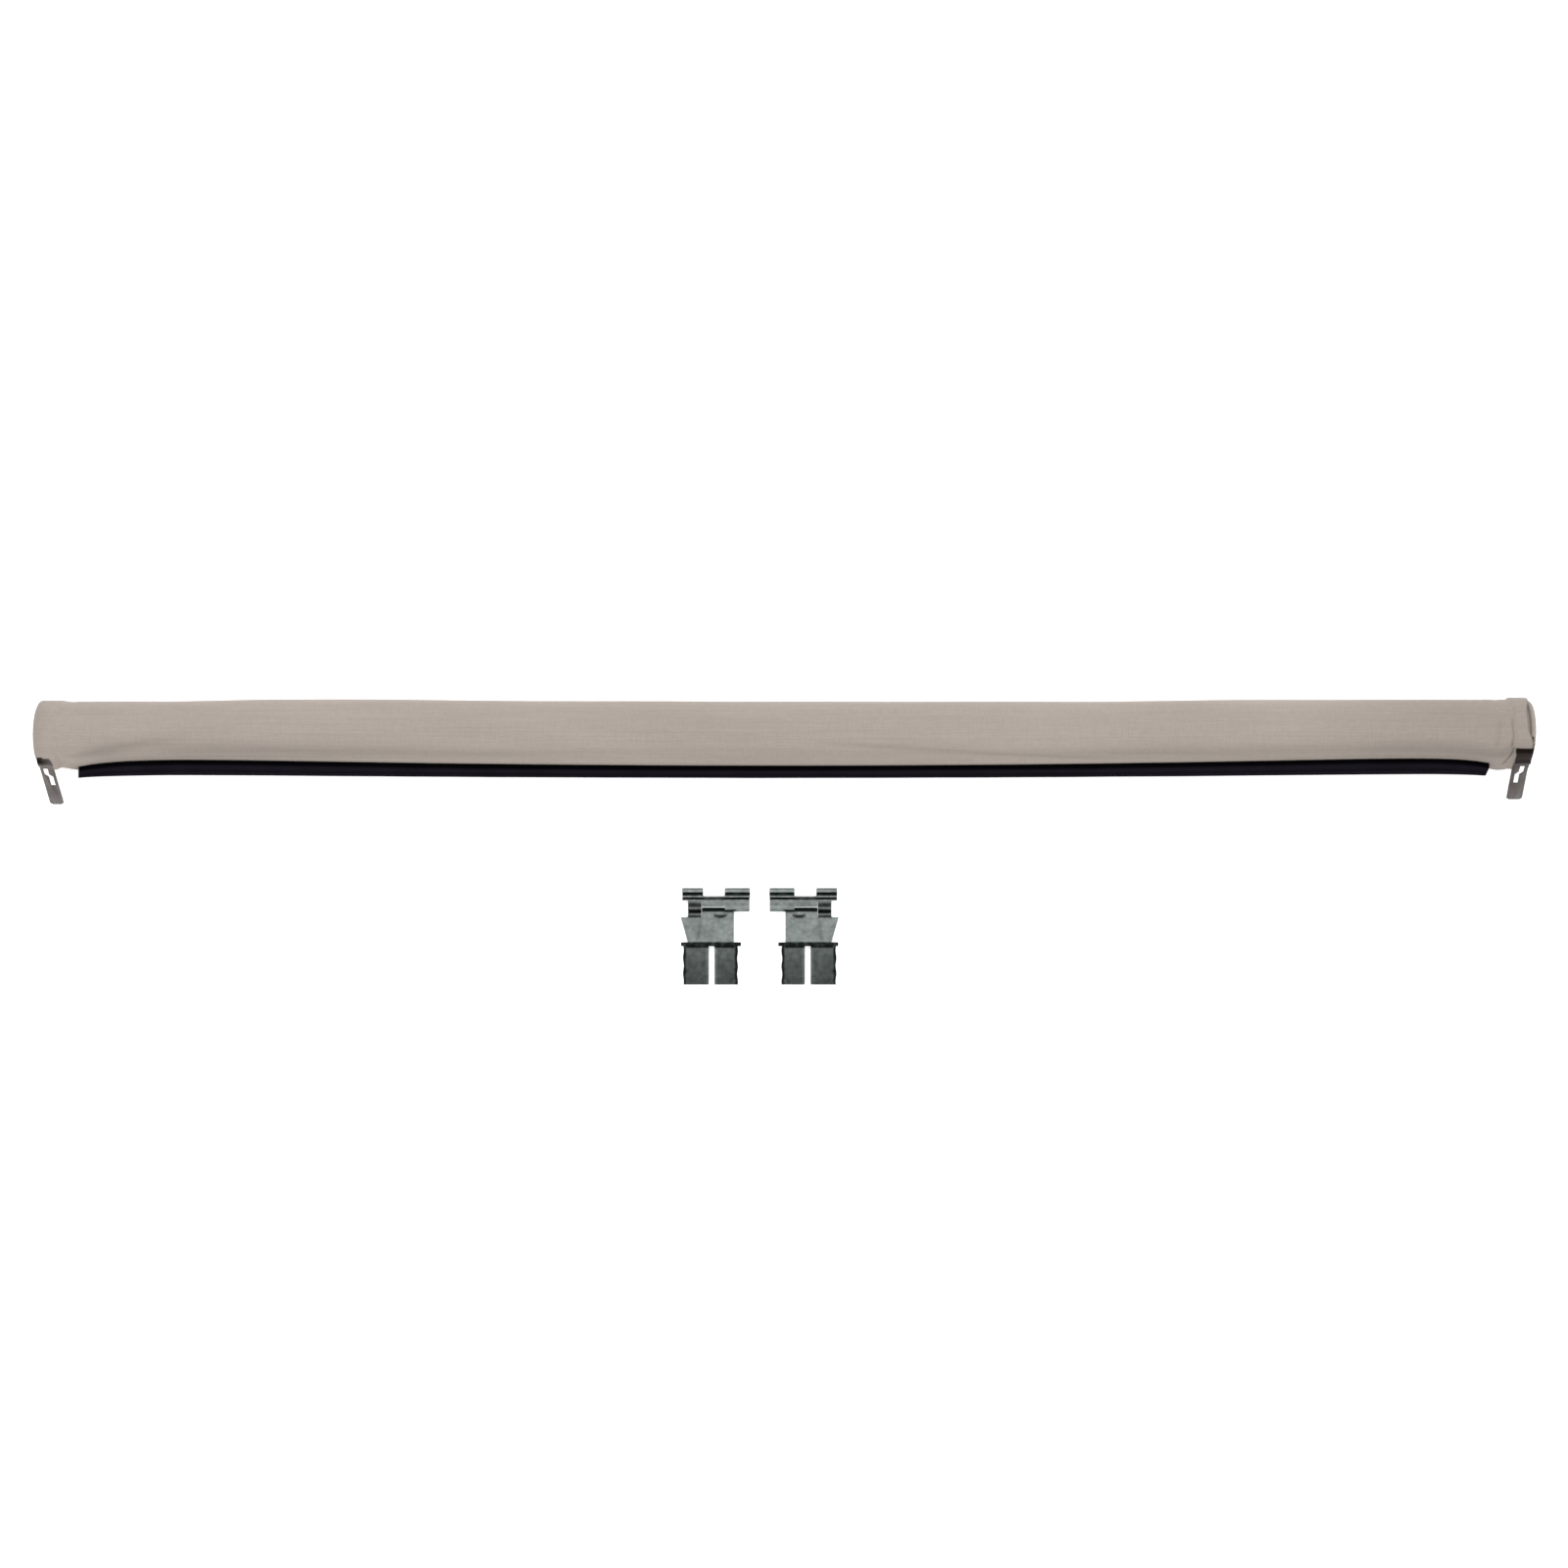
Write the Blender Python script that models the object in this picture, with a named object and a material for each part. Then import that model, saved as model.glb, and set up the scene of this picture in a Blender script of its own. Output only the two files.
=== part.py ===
"""Roller blind for a car's glass roof, rolled up, with its two mounting clips laid out in front of it.

A light alloy tube turns on two flat-ended steel pins. The long pin at the left is the arbor of a torsion
spring, which winds up as the cloth is drawn out. The cloth leaves the roll over the top, towards -Y. A
rubber strip runs along its free edge. A steel guide tape lies in each side hem and ends in a hooking tab.

Lengths are in metres, +Z is up, X runs along the roll. The origin is on the table, in the middle.
"""

import math

import bmesh
import bpy
from mathutils import Matrix, Vector

MM = 0.001

# ---- driving sizes -------------------------------------------------------------------------------

GAP = 0.3 * MM  # between two meshes that touch on the real object
RUNNING = 0.3 * MM  # radial clearance of a pin in its bore
ROUND_STEPS = 48  # facets of the cloth rolls
SMALL_STEPS = 24  # facets of turned parts
CUT_PAST = 1.0 * MM  # how far a cutter runs past what it cuts

CLOTH_WIDTH = 951.0 * MM  # over both side hems
CLOTH_THICKNESS = 0.6 * MM
MAIN_ROLL_R = 19.3 * MM
HEM_ROLL_R = 20.6 * MM  # the hems are thicker, so the roll stands on them
HEM_WIDTH = 12.5 * MM

TUBE_R = 12.0 * MM
TUBE_WALL = 1.0 * MM
TUBE_SET_BACK = 0.5 * MM  # the tube stops this far inside the cloth's edge
GROOVE_WIDTH = 3.0 * MM
GROOVE_DEPTH = 3.0 * MM
SPLINE_SET_BACK = 1.0 * MM  # from the tube's end

PIN_R = 3.0 * MM
TANG_LENGTH = 4.0 * MM
TANG_THICKNESS = 4.0 * MM

BUSH_FLANGE = 1.5 * MM
BUSH_LENGTH = 15.0 * MM
WASHER_THICKNESS = 0.8 * MM

SPRING_TURNS = 34
SPRING_CLEARANCE = 0.7 * MM  # between the spring and the tube's inner rib
SPRING_WIRE_R = 0.7 * MM
SPRING_PITCH = 4.2 * MM
SPRING_STEPS = 12  # points in a turn
PLUG_NOSE_CLEARANCE = 0.5 * MM  # between a plug's nose and the spring round it
PLUG_COLLAR = 4.0 * MM
PLUG_NOSE = 12.0 * MM
DRIVE_PLUG_LENGTH = 18.0 * MM
CROSS_PIN_R = 1.0 * MM
CIRCLIP_WIDTH = 2.4 * MM
CIRCLIP_THICKNESS = 0.8 * MM
CIRCLIP_GROOVE = 0.7 * MM  # how deep the arbor is grooved for it
CIRCLIP_MOUTH = math.radians(80)
ARBOR_TAIL = 3.0 * MM  # beyond the circlip

IDLE_COLLAR_STEP = 2.0 * MM
IDLE_COLLAR = 3.0 * MM
IDLE_TAIL = 8.0 * MM

LEFT_TAPE_WIDTH, RIGHT_TAPE_WIDTH = 8.8 * MM, 10.2 * MM
TAPE_THICKNESS = 0.4 * MM
TAPE_COVER = 0.6 * MM  # cloth folded round the tape's outer edge
TAPE_COIL_DEPTH = 1.6 * MM  # all the wound turns of tape together
TAPE_COIL_COVER = 2.7 * MM  # the cloth outside them

LEAVE_ANGLE = math.radians(50)  # where the free edge leaves the roll, from the top
FLAP_LENGTH = 10.0 * MM
FLAP_START = 0.5 * MM
HEM_LAYER = 0.5 * MM
SLEEVE_START = -1.0 * MM

STRIP_SET_BACK = 11.0 * MM  # from the hem's inner edge to the strip's end
STRIP_START = 5.0 * MM  # down the slope, from where the cloth leaves the roll
STRIP_WIDTH = 13.0 * MM
STRIP_THICKNESS = 3.2 * MM
STRIP_STEPS = 8

SLOT_START = 9.5 * MM
SLOT_BEND = 15.0 * MM
SLOT_BEND_LENGTH = 2.5 * MM
SLOT_END = 26.0 * MM
SLOT_WIDTH = 2.8 * MM
SLOT_SHIFT = 1.1 * MM  # of the slot's two halves, from the tape's middle
TAB_CORNER = 1.6 * MM
LEFT_TAB_LEAN, RIGHT_TAB_LEAN = math.radians(3.5), math.radians(7)  # each tab bends outwards
RIGHT_TAB_SHORT = 5.0 * MM  # the right tape comes out less far
RIGHT_SLOT_UP = 2.6 * MM

CLIP_THICKNESS = 0.8 * MM
CLIP_SPACING = 62.8 * MM  # between the two clips' middles
CLIP_PAIR_X = -15.8 * MM
CLIP_SET_OUT = 136.7 * MM  # from the roll's axis to the clips' fold line

# Clip sizes, from its middle line and its fold line. The left clip is drawn, the right one mirrors it.
LEG_LENGTH = 26.5 * MM
LEG_LEFT, GAP_LEFT, GAP_RIGHT, LEG_RIGHT = -17.9 * MM, -1.6 * MM, 2.2 * MM, 16.9 * MM
LEG_EDGE = 0.7 * MM  # the bend between a leg and its side flange
LEG_FLANGE = 1.6 * MM
LEG_RISE = 3.8 * MM  # the legs slope down to their tips
EAR_LEFT, EAR_RIGHT = LEG_LEFT - 1.6 * MM, LEG_RIGHT + 2.5 * MM
FOLD_FRONT, FOLD_BACK, EAR_BACK = -2.6 * MM, -0.6 * MM, 0.8 * MM
PLATE_BACK = 17.5 * MM
PLATE_UNDER = 24.5 * MM  # the plate runs on under the flange to here
PLATE_LEFT, PLATE_RIGHT = -15.0 * MM, 14.7 * MM
PLATE_POINT = -19.6 * MM
WEB_RIGHT, SLIT_RIGHT = -6.4 * MM, -5.4 * MM
FLANGE_LOW, FLANGE_STEP = 21.0 * MM, 23.6 * MM
FLANGE_FRONT, FLANGE_BACK = 27.6 * MM, 28.9 * MM
RAIL_LEFT, RAIL_RIGHT = -18.5 * MM, 24.9 * MM
HOOK_LEFT, HOOK_RIGHT = -5.4 * MM, 8.9 * MM
RAIL_FRONT, RAIL_NOTCH, RAIL_BACK = 30.4 * MM, 31.3 * MM, 35.7 * MM
HOOK_TOP, HOOK_LIP = 36.2 * MM, 33.6 * MM
LEG_Z, PLATE_Z, FLANGE_Z, RAIL_Z, HOOK_Z = 2.4 * MM, 5.2 * MM, 8.8 * MM, 7.4 * MM, 10.8 * MM

# ---- what follows from them ----------------------------------------------------------------------

HALF_CLOTH = CLOTH_WIDTH / 2
HALF_TUBE = HALF_CLOTH - TUBE_SET_BACK
TUBE_BORE_R = TUBE_R - TUBE_WALL
CLOTH_BORE_R = TUBE_R + GAP
PIN_END = HALF_TUBE + BUSH_FLANGE + TANG_LENGTH
PIN_BORE_R = PIN_R + RUNNING
FRONT_REACH = CLIP_SET_OUT + LEG_LENGTH
AXIS_Y = (FRONT_REACH - HEM_ROLL_R) / 2
AXIS_Z = HEM_ROLL_R

GROOVE_FLOOR_R = TUBE_R - GROOVE_DEPTH
RIB_R = GROOVE_FLOOR_R - TUBE_WALL  # what turns inside the tube stays clear of the groove's inner rib
SPLINE_R = GROOVE_WIDTH / 2 - GAP
WASHER_R = RIB_R - 2 * GAP
SPRING_R = RIB_R - SPRING_CLEARANCE - SPRING_WIRE_R  # to the middle of the wire
SPRING_OUTER_R = SPRING_R + SPRING_WIRE_R
PLUG_NOSE_R = SPRING_R - SPRING_WIRE_R - PLUG_NOSE_CLEARANCE

BUSH_INNER = HALF_TUBE - BUSH_LENGTH  # the bush's inner face, from the middle
PLUG_FACE = BUSH_INNER - WASHER_THICKNESS - 2 * GAP
SPRING_START = -(PLUG_FACE - PLUG_COLLAR - SPRING_WIRE_R - GAP)
SPRING_END = SPRING_START + SPRING_TURNS * SPRING_PITCH
DRIVE_FACE = SPRING_END + SPRING_WIRE_R + GAP
DRIVE_BACK = DRIVE_FACE + DRIVE_PLUG_LENGTH
CIRCLIP_X = DRIVE_BACK + GAP
ARBOR_END = CIRCLIP_X + CIRCLIP_THICKNESS + ARBOR_TAIL
CIRCLIP_GROOVE_R = PIN_R - CIRCLIP_GROOVE

TAPE_OUTER_X = HALF_CLOTH - TAPE_COVER
TAPE_INNER_X = {"left": TAPE_OUTER_X - LEFT_TAPE_WIDTH, "right": TAPE_OUTER_X - RIGHT_TAPE_WIDTH}
HEM_INNER_X = HALF_CLOTH - HEM_WIDTH

TAPE_COIL_R = HEM_ROLL_R - TAPE_COIL_COVER - TAPE_COIL_DEPTH - GAP
STRIP_HALF = HEM_INNER_X - STRIP_SET_BACK

SLEEVE_LOW = HEM_ROLL_R + GAP
SLEEVE_HIGH = SLEEVE_LOW + 2 * HEM_LAYER + 2 * GAP + TAPE_THICKNESS
TAPE_LOW = SLEEVE_LOW + HEM_LAYER + GAP
FLAP_LOW = MAIN_ROLL_R + GAP
STRIP_LOW = FLAP_LOW + CLOTH_THICKNESS + GAP
TAB_END = (AXIS_Z + TAPE_LOW * math.cos(LEAVE_ANGLE)) / math.sin(LEAVE_ANGLE)  # its tip rests on the table

# ---- helpers -------------------------------------------------------------------------------------


def material(name, colour, roughness, metallic=0.0):
    """A plain Principled BSDF."""
    made = bpy.data.materials.new(name)
    made.use_nodes = True
    shader = made.node_tree.nodes["Principled BSDF"]
    shader.inputs["Base Color"].default_value = (*colour, 1.0)
    shader.inputs["Roughness"].default_value = roughness
    shader.inputs["Metallic"].default_value = metallic
    return made


def add(name, bm, finish, parent, smooth=None):
    """Turns a bmesh into a named object under parent. smooth is the angle above which an edge stays sharp."""
    mesh = bpy.data.meshes.new(name)
    bm.to_mesh(mesh)
    bm.free()
    if smooth is not None:
        mesh.shade_smooth()
        mesh.set_sharp_from_angle(angle=smooth)
    mesh.materials.append(finish)
    obj = bpy.data.objects.new(name, mesh)
    bpy.context.scene.collection.objects.link(obj)
    obj.parent = parent
    return obj


def empty(name, location, tilt=0.0):
    """A frame for pieces to be parented to, turned about X by tilt."""
    made = bpy.data.objects.new(name, None)
    bpy.context.scene.collection.objects.link(made)
    made.location = location
    made.rotation_euler = (tilt, 0, 0)
    return made


def turned(profile, steps=SMALL_STEPS):
    """Spins (x, radius) points about the X axis. A profile that starts and ends on the axis stays open."""
    bm = bmesh.new()
    verts = [bm.verts.new((x, 0, r)) for x, r in profile]
    on_axis = profile[0][1] == 0 and profile[-1][1] == 0
    edges = [bm.edges.new(pair) for pair in zip(verts, verts[1:])]
    if not on_axis:
        edges.append(bm.edges.new((verts[-1], verts[0])))
    bmesh.ops.spin(
        bm, geom=verts + edges, cent=(0, 0, 0), axis=(1, 0, 0), dvec=(0, 0, 0), angle=2 * math.pi,
        steps=steps, use_duplicate=False,
    )
    bmesh.ops.remove_doubles(bm, verts=bm.verts, dist=1e-6)
    bmesh.ops.recalc_face_normals(bm, faces=bm.faces)
    return bm


def swept(faces, along):
    """A solid made by moving flat faces, each a list of points, through the vector along."""
    bm = bmesh.new()
    for points in faces:
        bm.faces.new([bm.verts.new(p) for p in points])
    bmesh.ops.remove_doubles(bm, verts=bm.verts, dist=1e-6)
    grown = bmesh.ops.extrude_face_region(bm, geom=bm.faces[:], use_keep_orig=True)
    moved = [item for item in grown["geom"] if isinstance(item, bmesh.types.BMVert)]
    bmesh.ops.translate(bm, verts=moved, vec=along)
    bmesh.ops.recalc_face_normals(bm, faces=bm.faces)
    return bm


def prism_x(outline, x0, x1):
    """A bar along X from an outline of (y, z) points."""
    return swept([[(x0, y, z) for y, z in outline]], Vector((x1 - x0, 0, 0)))


def frame_between(outer, inner):
    """The faces between two outlines that have the same number of points."""
    count = len(outer)
    return [[outer[i], outer[(i + 1) % count], inner[(i + 1) % count], inner[i]] for i in range(count)]


def cut(obj, cutter, feature):
    """Takes a cutter's shape out of obj. The cutter stays under the same parent as a hidden wire object."""
    tool = add(f"{obj.name}_{feature}_cutter", cutter, obj.data.materials[0], obj.parent)
    tool.hide_render = True
    tool.display_type = "WIRE"
    modifier = obj.modifiers.new(feature, "BOOLEAN")
    modifier.operation = "DIFFERENCE"
    modifier.object = tool


def add_box(bm, low, high):
    """A plain block between two corners, for cutters."""
    size = Vector(high) - Vector(low)
    middle = (Vector(high) + Vector(low)) / 2
    bmesh.ops.create_cube(bm, size=1.0, matrix=Matrix.Translation(middle) @ Matrix.Diagonal((*size, 1)))


# ---- scene ---------------------------------------------------------------------------------------

for old in list(bpy.data.objects):
    bpy.data.objects.remove(old)

CLOTH = material("blind_cloth", (0.42, 0.37, 0.32), 0.9)
RUBBER = material("black_rubber", (0.006, 0.006, 0.008), 0.45)
TAPE_STEEL = material("tape_steel", (0.28, 0.25, 0.24), 0.35, 1.0)
CLIP_STEEL = material("clip_steel", (0.26, 0.29, 0.28), 0.45, 1.0)
PIN_STEEL = material("pin_steel", (0.5, 0.5, 0.52), 0.3, 1.0)
SPRING_STEEL = material("spring_steel", (0.2, 0.2, 0.21), 0.35, 1.0)
ALLOY = material("tube_alloy", (0.72, 0.72, 0.73), 0.35, 1.0)
NYLON = material("black_nylon", (0.02, 0.02, 0.022), 0.5)
VINYL = material("spline_vinyl", (0.7, 0.7, 0.68), 0.5)

roll_axis = empty("roll_axis", (0, AXIS_Y, AXIS_Z))
flap_slope = empty("flap_slope", (0, AXIS_Y, AXIS_Z), LEAVE_ANGLE)

# ---- tube, with a groove that the cloth is keyed into --------------------------------------------


def tube_outline(radius, half_notch, notch_r):
    """A circle of (y, z) points with a square notch at the bottom, from the notch's right side round."""
    notch_angle = math.asin(half_notch / radius)
    start, stop = -math.pi / 2 + notch_angle, 1.5 * math.pi - notch_angle
    arc = [start + (stop - start) * i / (ROUND_STEPS - 1) for i in range(ROUND_STEPS)]
    points = [(radius * math.cos(a), radius * math.sin(a)) for a in arc]
    return points + [(-half_notch, -notch_r), (half_notch, -notch_r)]


outer_wall = tube_outline(TUBE_R, GROOVE_WIDTH / 2, GROOVE_FLOOR_R)
inner_wall = tube_outline(TUBE_BORE_R, GROOVE_WIDTH / 2 + TUBE_WALL, RIB_R)
tube_faces = [[(-HALF_TUBE, y, z) for y, z in quad] for quad in frame_between(outer_wall, inner_wall)]
add("roller_tube", swept(tube_faces, Vector((2 * HALF_TUBE, 0, 0))), ALLOY, roll_axis, math.radians(30))

spline_end = HALF_TUBE - SPLINE_SET_BACK
spline_outline = [(-spline_end, 0), (-spline_end, SPLINE_R), (spline_end, SPLINE_R), (spline_end, 0)]
spline = turned(spline_outline, steps=12)
bmesh.ops.translate(spline, verts=spline.verts, vec=(0, 0, -(GROOVE_FLOOR_R + GAP + SPLINE_R)))
add("cloth_anchor_spline", spline, VINYL, roll_axis, math.radians(40))

# ---- what is pressed into the tube ---------------------------------------------------------------

PLUG_R = TUBE_BORE_R - GAP


def cut_rib_slot(obj, x0, x1):
    """A plug in the tube is slotted round the groove's inner rib, from x0 to x1."""
    half = GROOVE_WIDTH / 2 + TUBE_WALL + GAP
    slot = bmesh.new()
    add_box(slot, (x0, -half, -TUBE_R), (x1, half, -(RIB_R - GAP)))
    cut(obj, slot, "rib_slot")


for bush_name, side in (("left_end_bush", -1), ("right_end_bush", 1)):
    outline = [
        (BUSH_INNER, PIN_BORE_R), (BUSH_INNER, PLUG_R), (HALF_TUBE + GAP, PLUG_R),
        (HALF_TUBE + GAP, TUBE_R), (HALF_TUBE + BUSH_FLANGE, TUBE_R), (HALF_TUBE + BUSH_FLANGE, PIN_BORE_R),
    ]
    bush = add(bush_name, turned([(side * x, r) for x, r in outline]), NYLON, roll_axis, math.radians(40))
    slot_ends = sorted((side * (BUSH_INNER - CUT_PAST), side * (HALF_TUBE + GAP / 2)))
    cut_rib_slot(bush, *slot_ends)

drive_plug = add(
    "spring_drive_plug",
    turned([
        (DRIVE_FACE - PLUG_NOSE, PIN_BORE_R), (DRIVE_FACE - PLUG_NOSE, PLUG_NOSE_R),
        (DRIVE_FACE, PLUG_NOSE_R), (DRIVE_FACE, PLUG_R), (DRIVE_BACK, PLUG_R), (DRIVE_BACK, PIN_BORE_R),
    ]),
    NYLON, roll_axis, math.radians(40),
)
cut_rib_slot(drive_plug, DRIVE_FACE - CUT_PAST, DRIVE_BACK + CUT_PAST)

# ---- the fixed shaft: arbor, spring and idle pin -------------------------------------------------


def flatten(pin, side):
    """Cuts two flats on a pin's outer end, so that a bracket keeps it from turning."""
    shoulder = side * (HALF_TUBE + BUSH_FLANGE)
    x0, x1 = sorted((shoulder, side * (PIN_END + CUT_PAST)))
    flats = bmesh.new()
    add_box(flats, (x0, -2 * PIN_R, TANG_THICKNESS / 2), (x1, 2 * PIN_R, 2 * PIN_R))
    add_box(flats, (x0, -2 * PIN_R, -2 * PIN_R), (x1, 2 * PIN_R, -TANG_THICKNESS / 2))
    cut(pin, flats, "flats")


clip_from, clip_to = CIRCLIP_X - GAP / 2, CIRCLIP_X + CIRCLIP_THICKNESS + GAP / 2
arbor = add(
    "spring_arbor",
    turned([
        (-PIN_END, 0), (-PIN_END, PIN_R), (clip_from, PIN_R), (clip_from, CIRCLIP_GROOVE_R),
        (clip_to, CIRCLIP_GROOVE_R), (clip_to, PIN_R), (ARBOR_END, PIN_R), (ARBOR_END, 0),
    ]),
    PIN_STEEL, roll_axis, math.radians(40),
)
flatten(arbor, -1)

collar_back, collar_front = PLUG_FACE - IDLE_COLLAR, PLUG_FACE
collar_r = PIN_R + IDLE_COLLAR_STEP
idle_pin = add(
    "idle_pin",
    turned([
        (PIN_END, 0), (PIN_END, PIN_R), (collar_front, PIN_R), (collar_front, collar_r),
        (collar_back, collar_r), (collar_back, PIN_R), (collar_back - IDLE_TAIL, PIN_R),
        (collar_back - IDLE_TAIL, 0),
    ]),
    PIN_STEEL, roll_axis, math.radians(40),
)
flatten(idle_pin, 1)

for washer_name, side in (("left_thrust_washer", -1), ("right_thrust_washer", 1)):
    near, far = BUSH_INNER - GAP - WASHER_THICKNESS, BUSH_INNER - GAP
    washer = [(near, PIN_BORE_R), (near, WASHER_R), (far, WASHER_R), (far, PIN_BORE_R)]
    add(washer_name, turned([(side * x, r) for x, r in washer]), PIN_STEEL, roll_axis, math.radians(40))

collar_end = -PLUG_FACE + PLUG_COLLAR
nose_end = collar_end + PLUG_NOSE
spring_plug = add(
    "spring_fixed_plug",
    turned([
        (-PLUG_FACE, PIN_BORE_R), (-PLUG_FACE, SPRING_OUTER_R), (collar_end, SPRING_OUTER_R),
        (collar_end, PLUG_NOSE_R), (nose_end, PLUG_NOSE_R), (nose_end, PIN_BORE_R),
    ]),
    NYLON, roll_axis, math.radians(40),
)


def upright_rod(radius, half_length):
    """A round rod along Z through the middle of the fixed plug's collar."""
    bm = bmesh.new()
    bmesh.ops.create_cone(
        bm, cap_ends=True, segments=12, radius1=radius, radius2=radius, depth=2 * half_length,
        matrix=Matrix.Translation((-PLUG_FACE + PLUG_COLLAR / 2, 0, 0)),
    )
    return bm


cross_pin = upright_rod(CROSS_PIN_R, SPRING_OUTER_R - GAP)
add("arbor_cross_pin", cross_pin, PIN_STEEL, roll_axis, math.radians(40))
for drilled in (arbor, spring_plug):
    cut(drilled, upright_rod(CROSS_PIN_R + GAP, SPRING_OUTER_R + CUT_PAST), "pin_hole")

clip_span = 2 * math.pi - CIRCLIP_MOUTH
clip_arc = [CIRCLIP_MOUTH / 2 + clip_span * i / SMALL_STEPS for i in range(SMALL_STEPS + 1)]
clip_radii = (CIRCLIP_GROOVE_R + GAP, CIRCLIP_GROOVE_R + GAP + CIRCLIP_WIDTH)
ring = [[(CIRCLIP_X, r * math.cos(a), r * math.sin(a)) for r in clip_radii] for a in clip_arc]
ring_faces = [[near[0], near[1], far[1], far[0]] for near, far in zip(ring, ring[1:])]
add("arbor_circlip", swept(ring_faces, Vector((CIRCLIP_THICKNESS, 0, 0))), SPRING_STEEL, roll_axis)

wire = bpy.data.curves.new("torsion_spring", "CURVE")
wire.dimensions = "3D"
wire.bevel_depth = SPRING_WIRE_R
wire.bevel_resolution = 0
wire.use_fill_caps = True
coil = wire.splines.new("POLY")
coil.points.add(SPRING_TURNS * SPRING_STEPS)
for number, point in enumerate(coil.points):
    turn = number / SPRING_STEPS
    swing = 2 * math.pi * turn
    point.co = (SPRING_START + SPRING_PITCH * turn, SPRING_R * math.cos(swing), SPRING_R * math.sin(swing), 1)
wire.materials.append(SPRING_STEEL)
spring = bpy.data.objects.new("torsion_spring", wire)
bpy.context.scene.collection.objects.link(spring)
spring.parent = roll_axis

# ---- the wound cloth, its side hems and the tape wound in them -----------------------------------

main_half = HEM_INNER_X - GAP
add(
    "wound_cloth",
    turned([(-main_half, CLOTH_BORE_R), (-main_half, MAIN_ROLL_R), (main_half, MAIN_ROLL_R),
            (main_half, CLOTH_BORE_R)], ROUND_STEPS),
    CLOTH, roll_axis, math.radians(30),
)

POCKET_LOW = TAPE_COIL_R - GAP
POCKET_HIGH = TAPE_COIL_R + TAPE_COIL_DEPTH + GAP
for side_name, side in (("left", -1), ("right", 1)):
    hem = [
        (HEM_INNER_X, CLOTH_BORE_R), (HALF_CLOTH, CLOTH_BORE_R), (HALF_CLOTH, HEM_ROLL_R),
        (HEM_INNER_X, HEM_ROLL_R), (HEM_INNER_X, POCKET_HIGH), (TAPE_OUTER_X + GAP, POCKET_HIGH),
        (TAPE_OUTER_X + GAP, POCKET_LOW), (HEM_INNER_X, POCKET_LOW),
    ]
    hem_ring = turned([(side * x, r) for x, r in hem], ROUND_STEPS)
    add(f"{side_name}_wound_hem", hem_ring, CLOTH, roll_axis, math.radians(30))
    inner_x = TAPE_INNER_X[side_name]
    tape = [
        (inner_x, TAPE_COIL_R), (TAPE_OUTER_X, TAPE_COIL_R), (TAPE_OUTER_X, TAPE_COIL_R + TAPE_COIL_DEPTH),
        (inner_x, TAPE_COIL_R + TAPE_COIL_DEPTH),
    ]
    tape_ring = turned([(side * x, r) for x, r in tape], ROUND_STEPS)
    add(f"{side_name}_tape_coil", tape_ring, TAPE_STEEL, roll_axis, math.radians(30))

# ---- the free edge, in a plane that leaves the roll at LEAVE_ANGLE -------------------------------
# On flap_slope, local -Y runs down the slope and local Z is the distance from the roll's axis.

add(
    "cloth_flap",
    prism_x([(-FLAP_START, FLAP_LOW), (-FLAP_LENGTH, FLAP_LOW), (-FLAP_LENGTH, FLAP_LOW + CLOTH_THICKNESS),
             (-FLAP_START, FLAP_LOW + CLOTH_THICKNESS)], -main_half, main_half),
    CLOTH, flap_slope,
)

strip_middle = -(STRIP_START + STRIP_WIDTH / 2)
strip_arc = [math.pi * i / STRIP_STEPS for i in range(STRIP_STEPS + 1)]
strip_outline = [
    (strip_middle + STRIP_WIDTH / 2 * math.cos(a), STRIP_LOW + STRIP_THICKNESS * math.sin(a))
    for a in strip_arc
]
strip = prism_x(strip_outline, -STRIP_HALF, STRIP_HALF)
add("rubber_edge_strip", strip, RUBBER, flap_slope, math.radians(50))


def tab_points(outline, side, lean, z):
    """Points of a tab from (x, distance down the slope), with all that is below the hem bent outwards."""
    return [(side * (x + max(0.0, u - FLAP_LENGTH) * math.tan(lean)), -u, z) for x, u in outline]


def slot_points(middle_x):
    """The dog-leg slot: its upper half lies outwards and its lower half inwards."""
    upper_x, lower_x = middle_x + SLOT_SHIFT, middle_x - SLOT_SHIFT
    half, bend_end = SLOT_WIDTH / 2, SLOT_BEND + SLOT_BEND_LENGTH
    return [
        (upper_x - half, SLOT_START), (upper_x - half, SLOT_BEND), (lower_x - half, bend_end),
        (lower_x - half, SLOT_END), (lower_x + half, SLOT_END), (lower_x + half, bend_end),
        (upper_x + half, SLOT_BEND), (upper_x + half, SLOT_START),
    ]


def tab_outline(inner_x, end):
    """The tape from inside its hem to its tip, with two clipped corners."""
    return [
        (inner_x, SLEEVE_START), (inner_x, FLAP_LENGTH), (inner_x, end - TAB_CORNER),
        (inner_x + TAB_CORNER, end), (TAPE_OUTER_X - TAB_CORNER, end), (TAPE_OUTER_X, end - TAB_CORNER),
        (TAPE_OUTER_X, FLAP_LENGTH), (TAPE_OUTER_X, SLEEVE_START),
    ]


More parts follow.
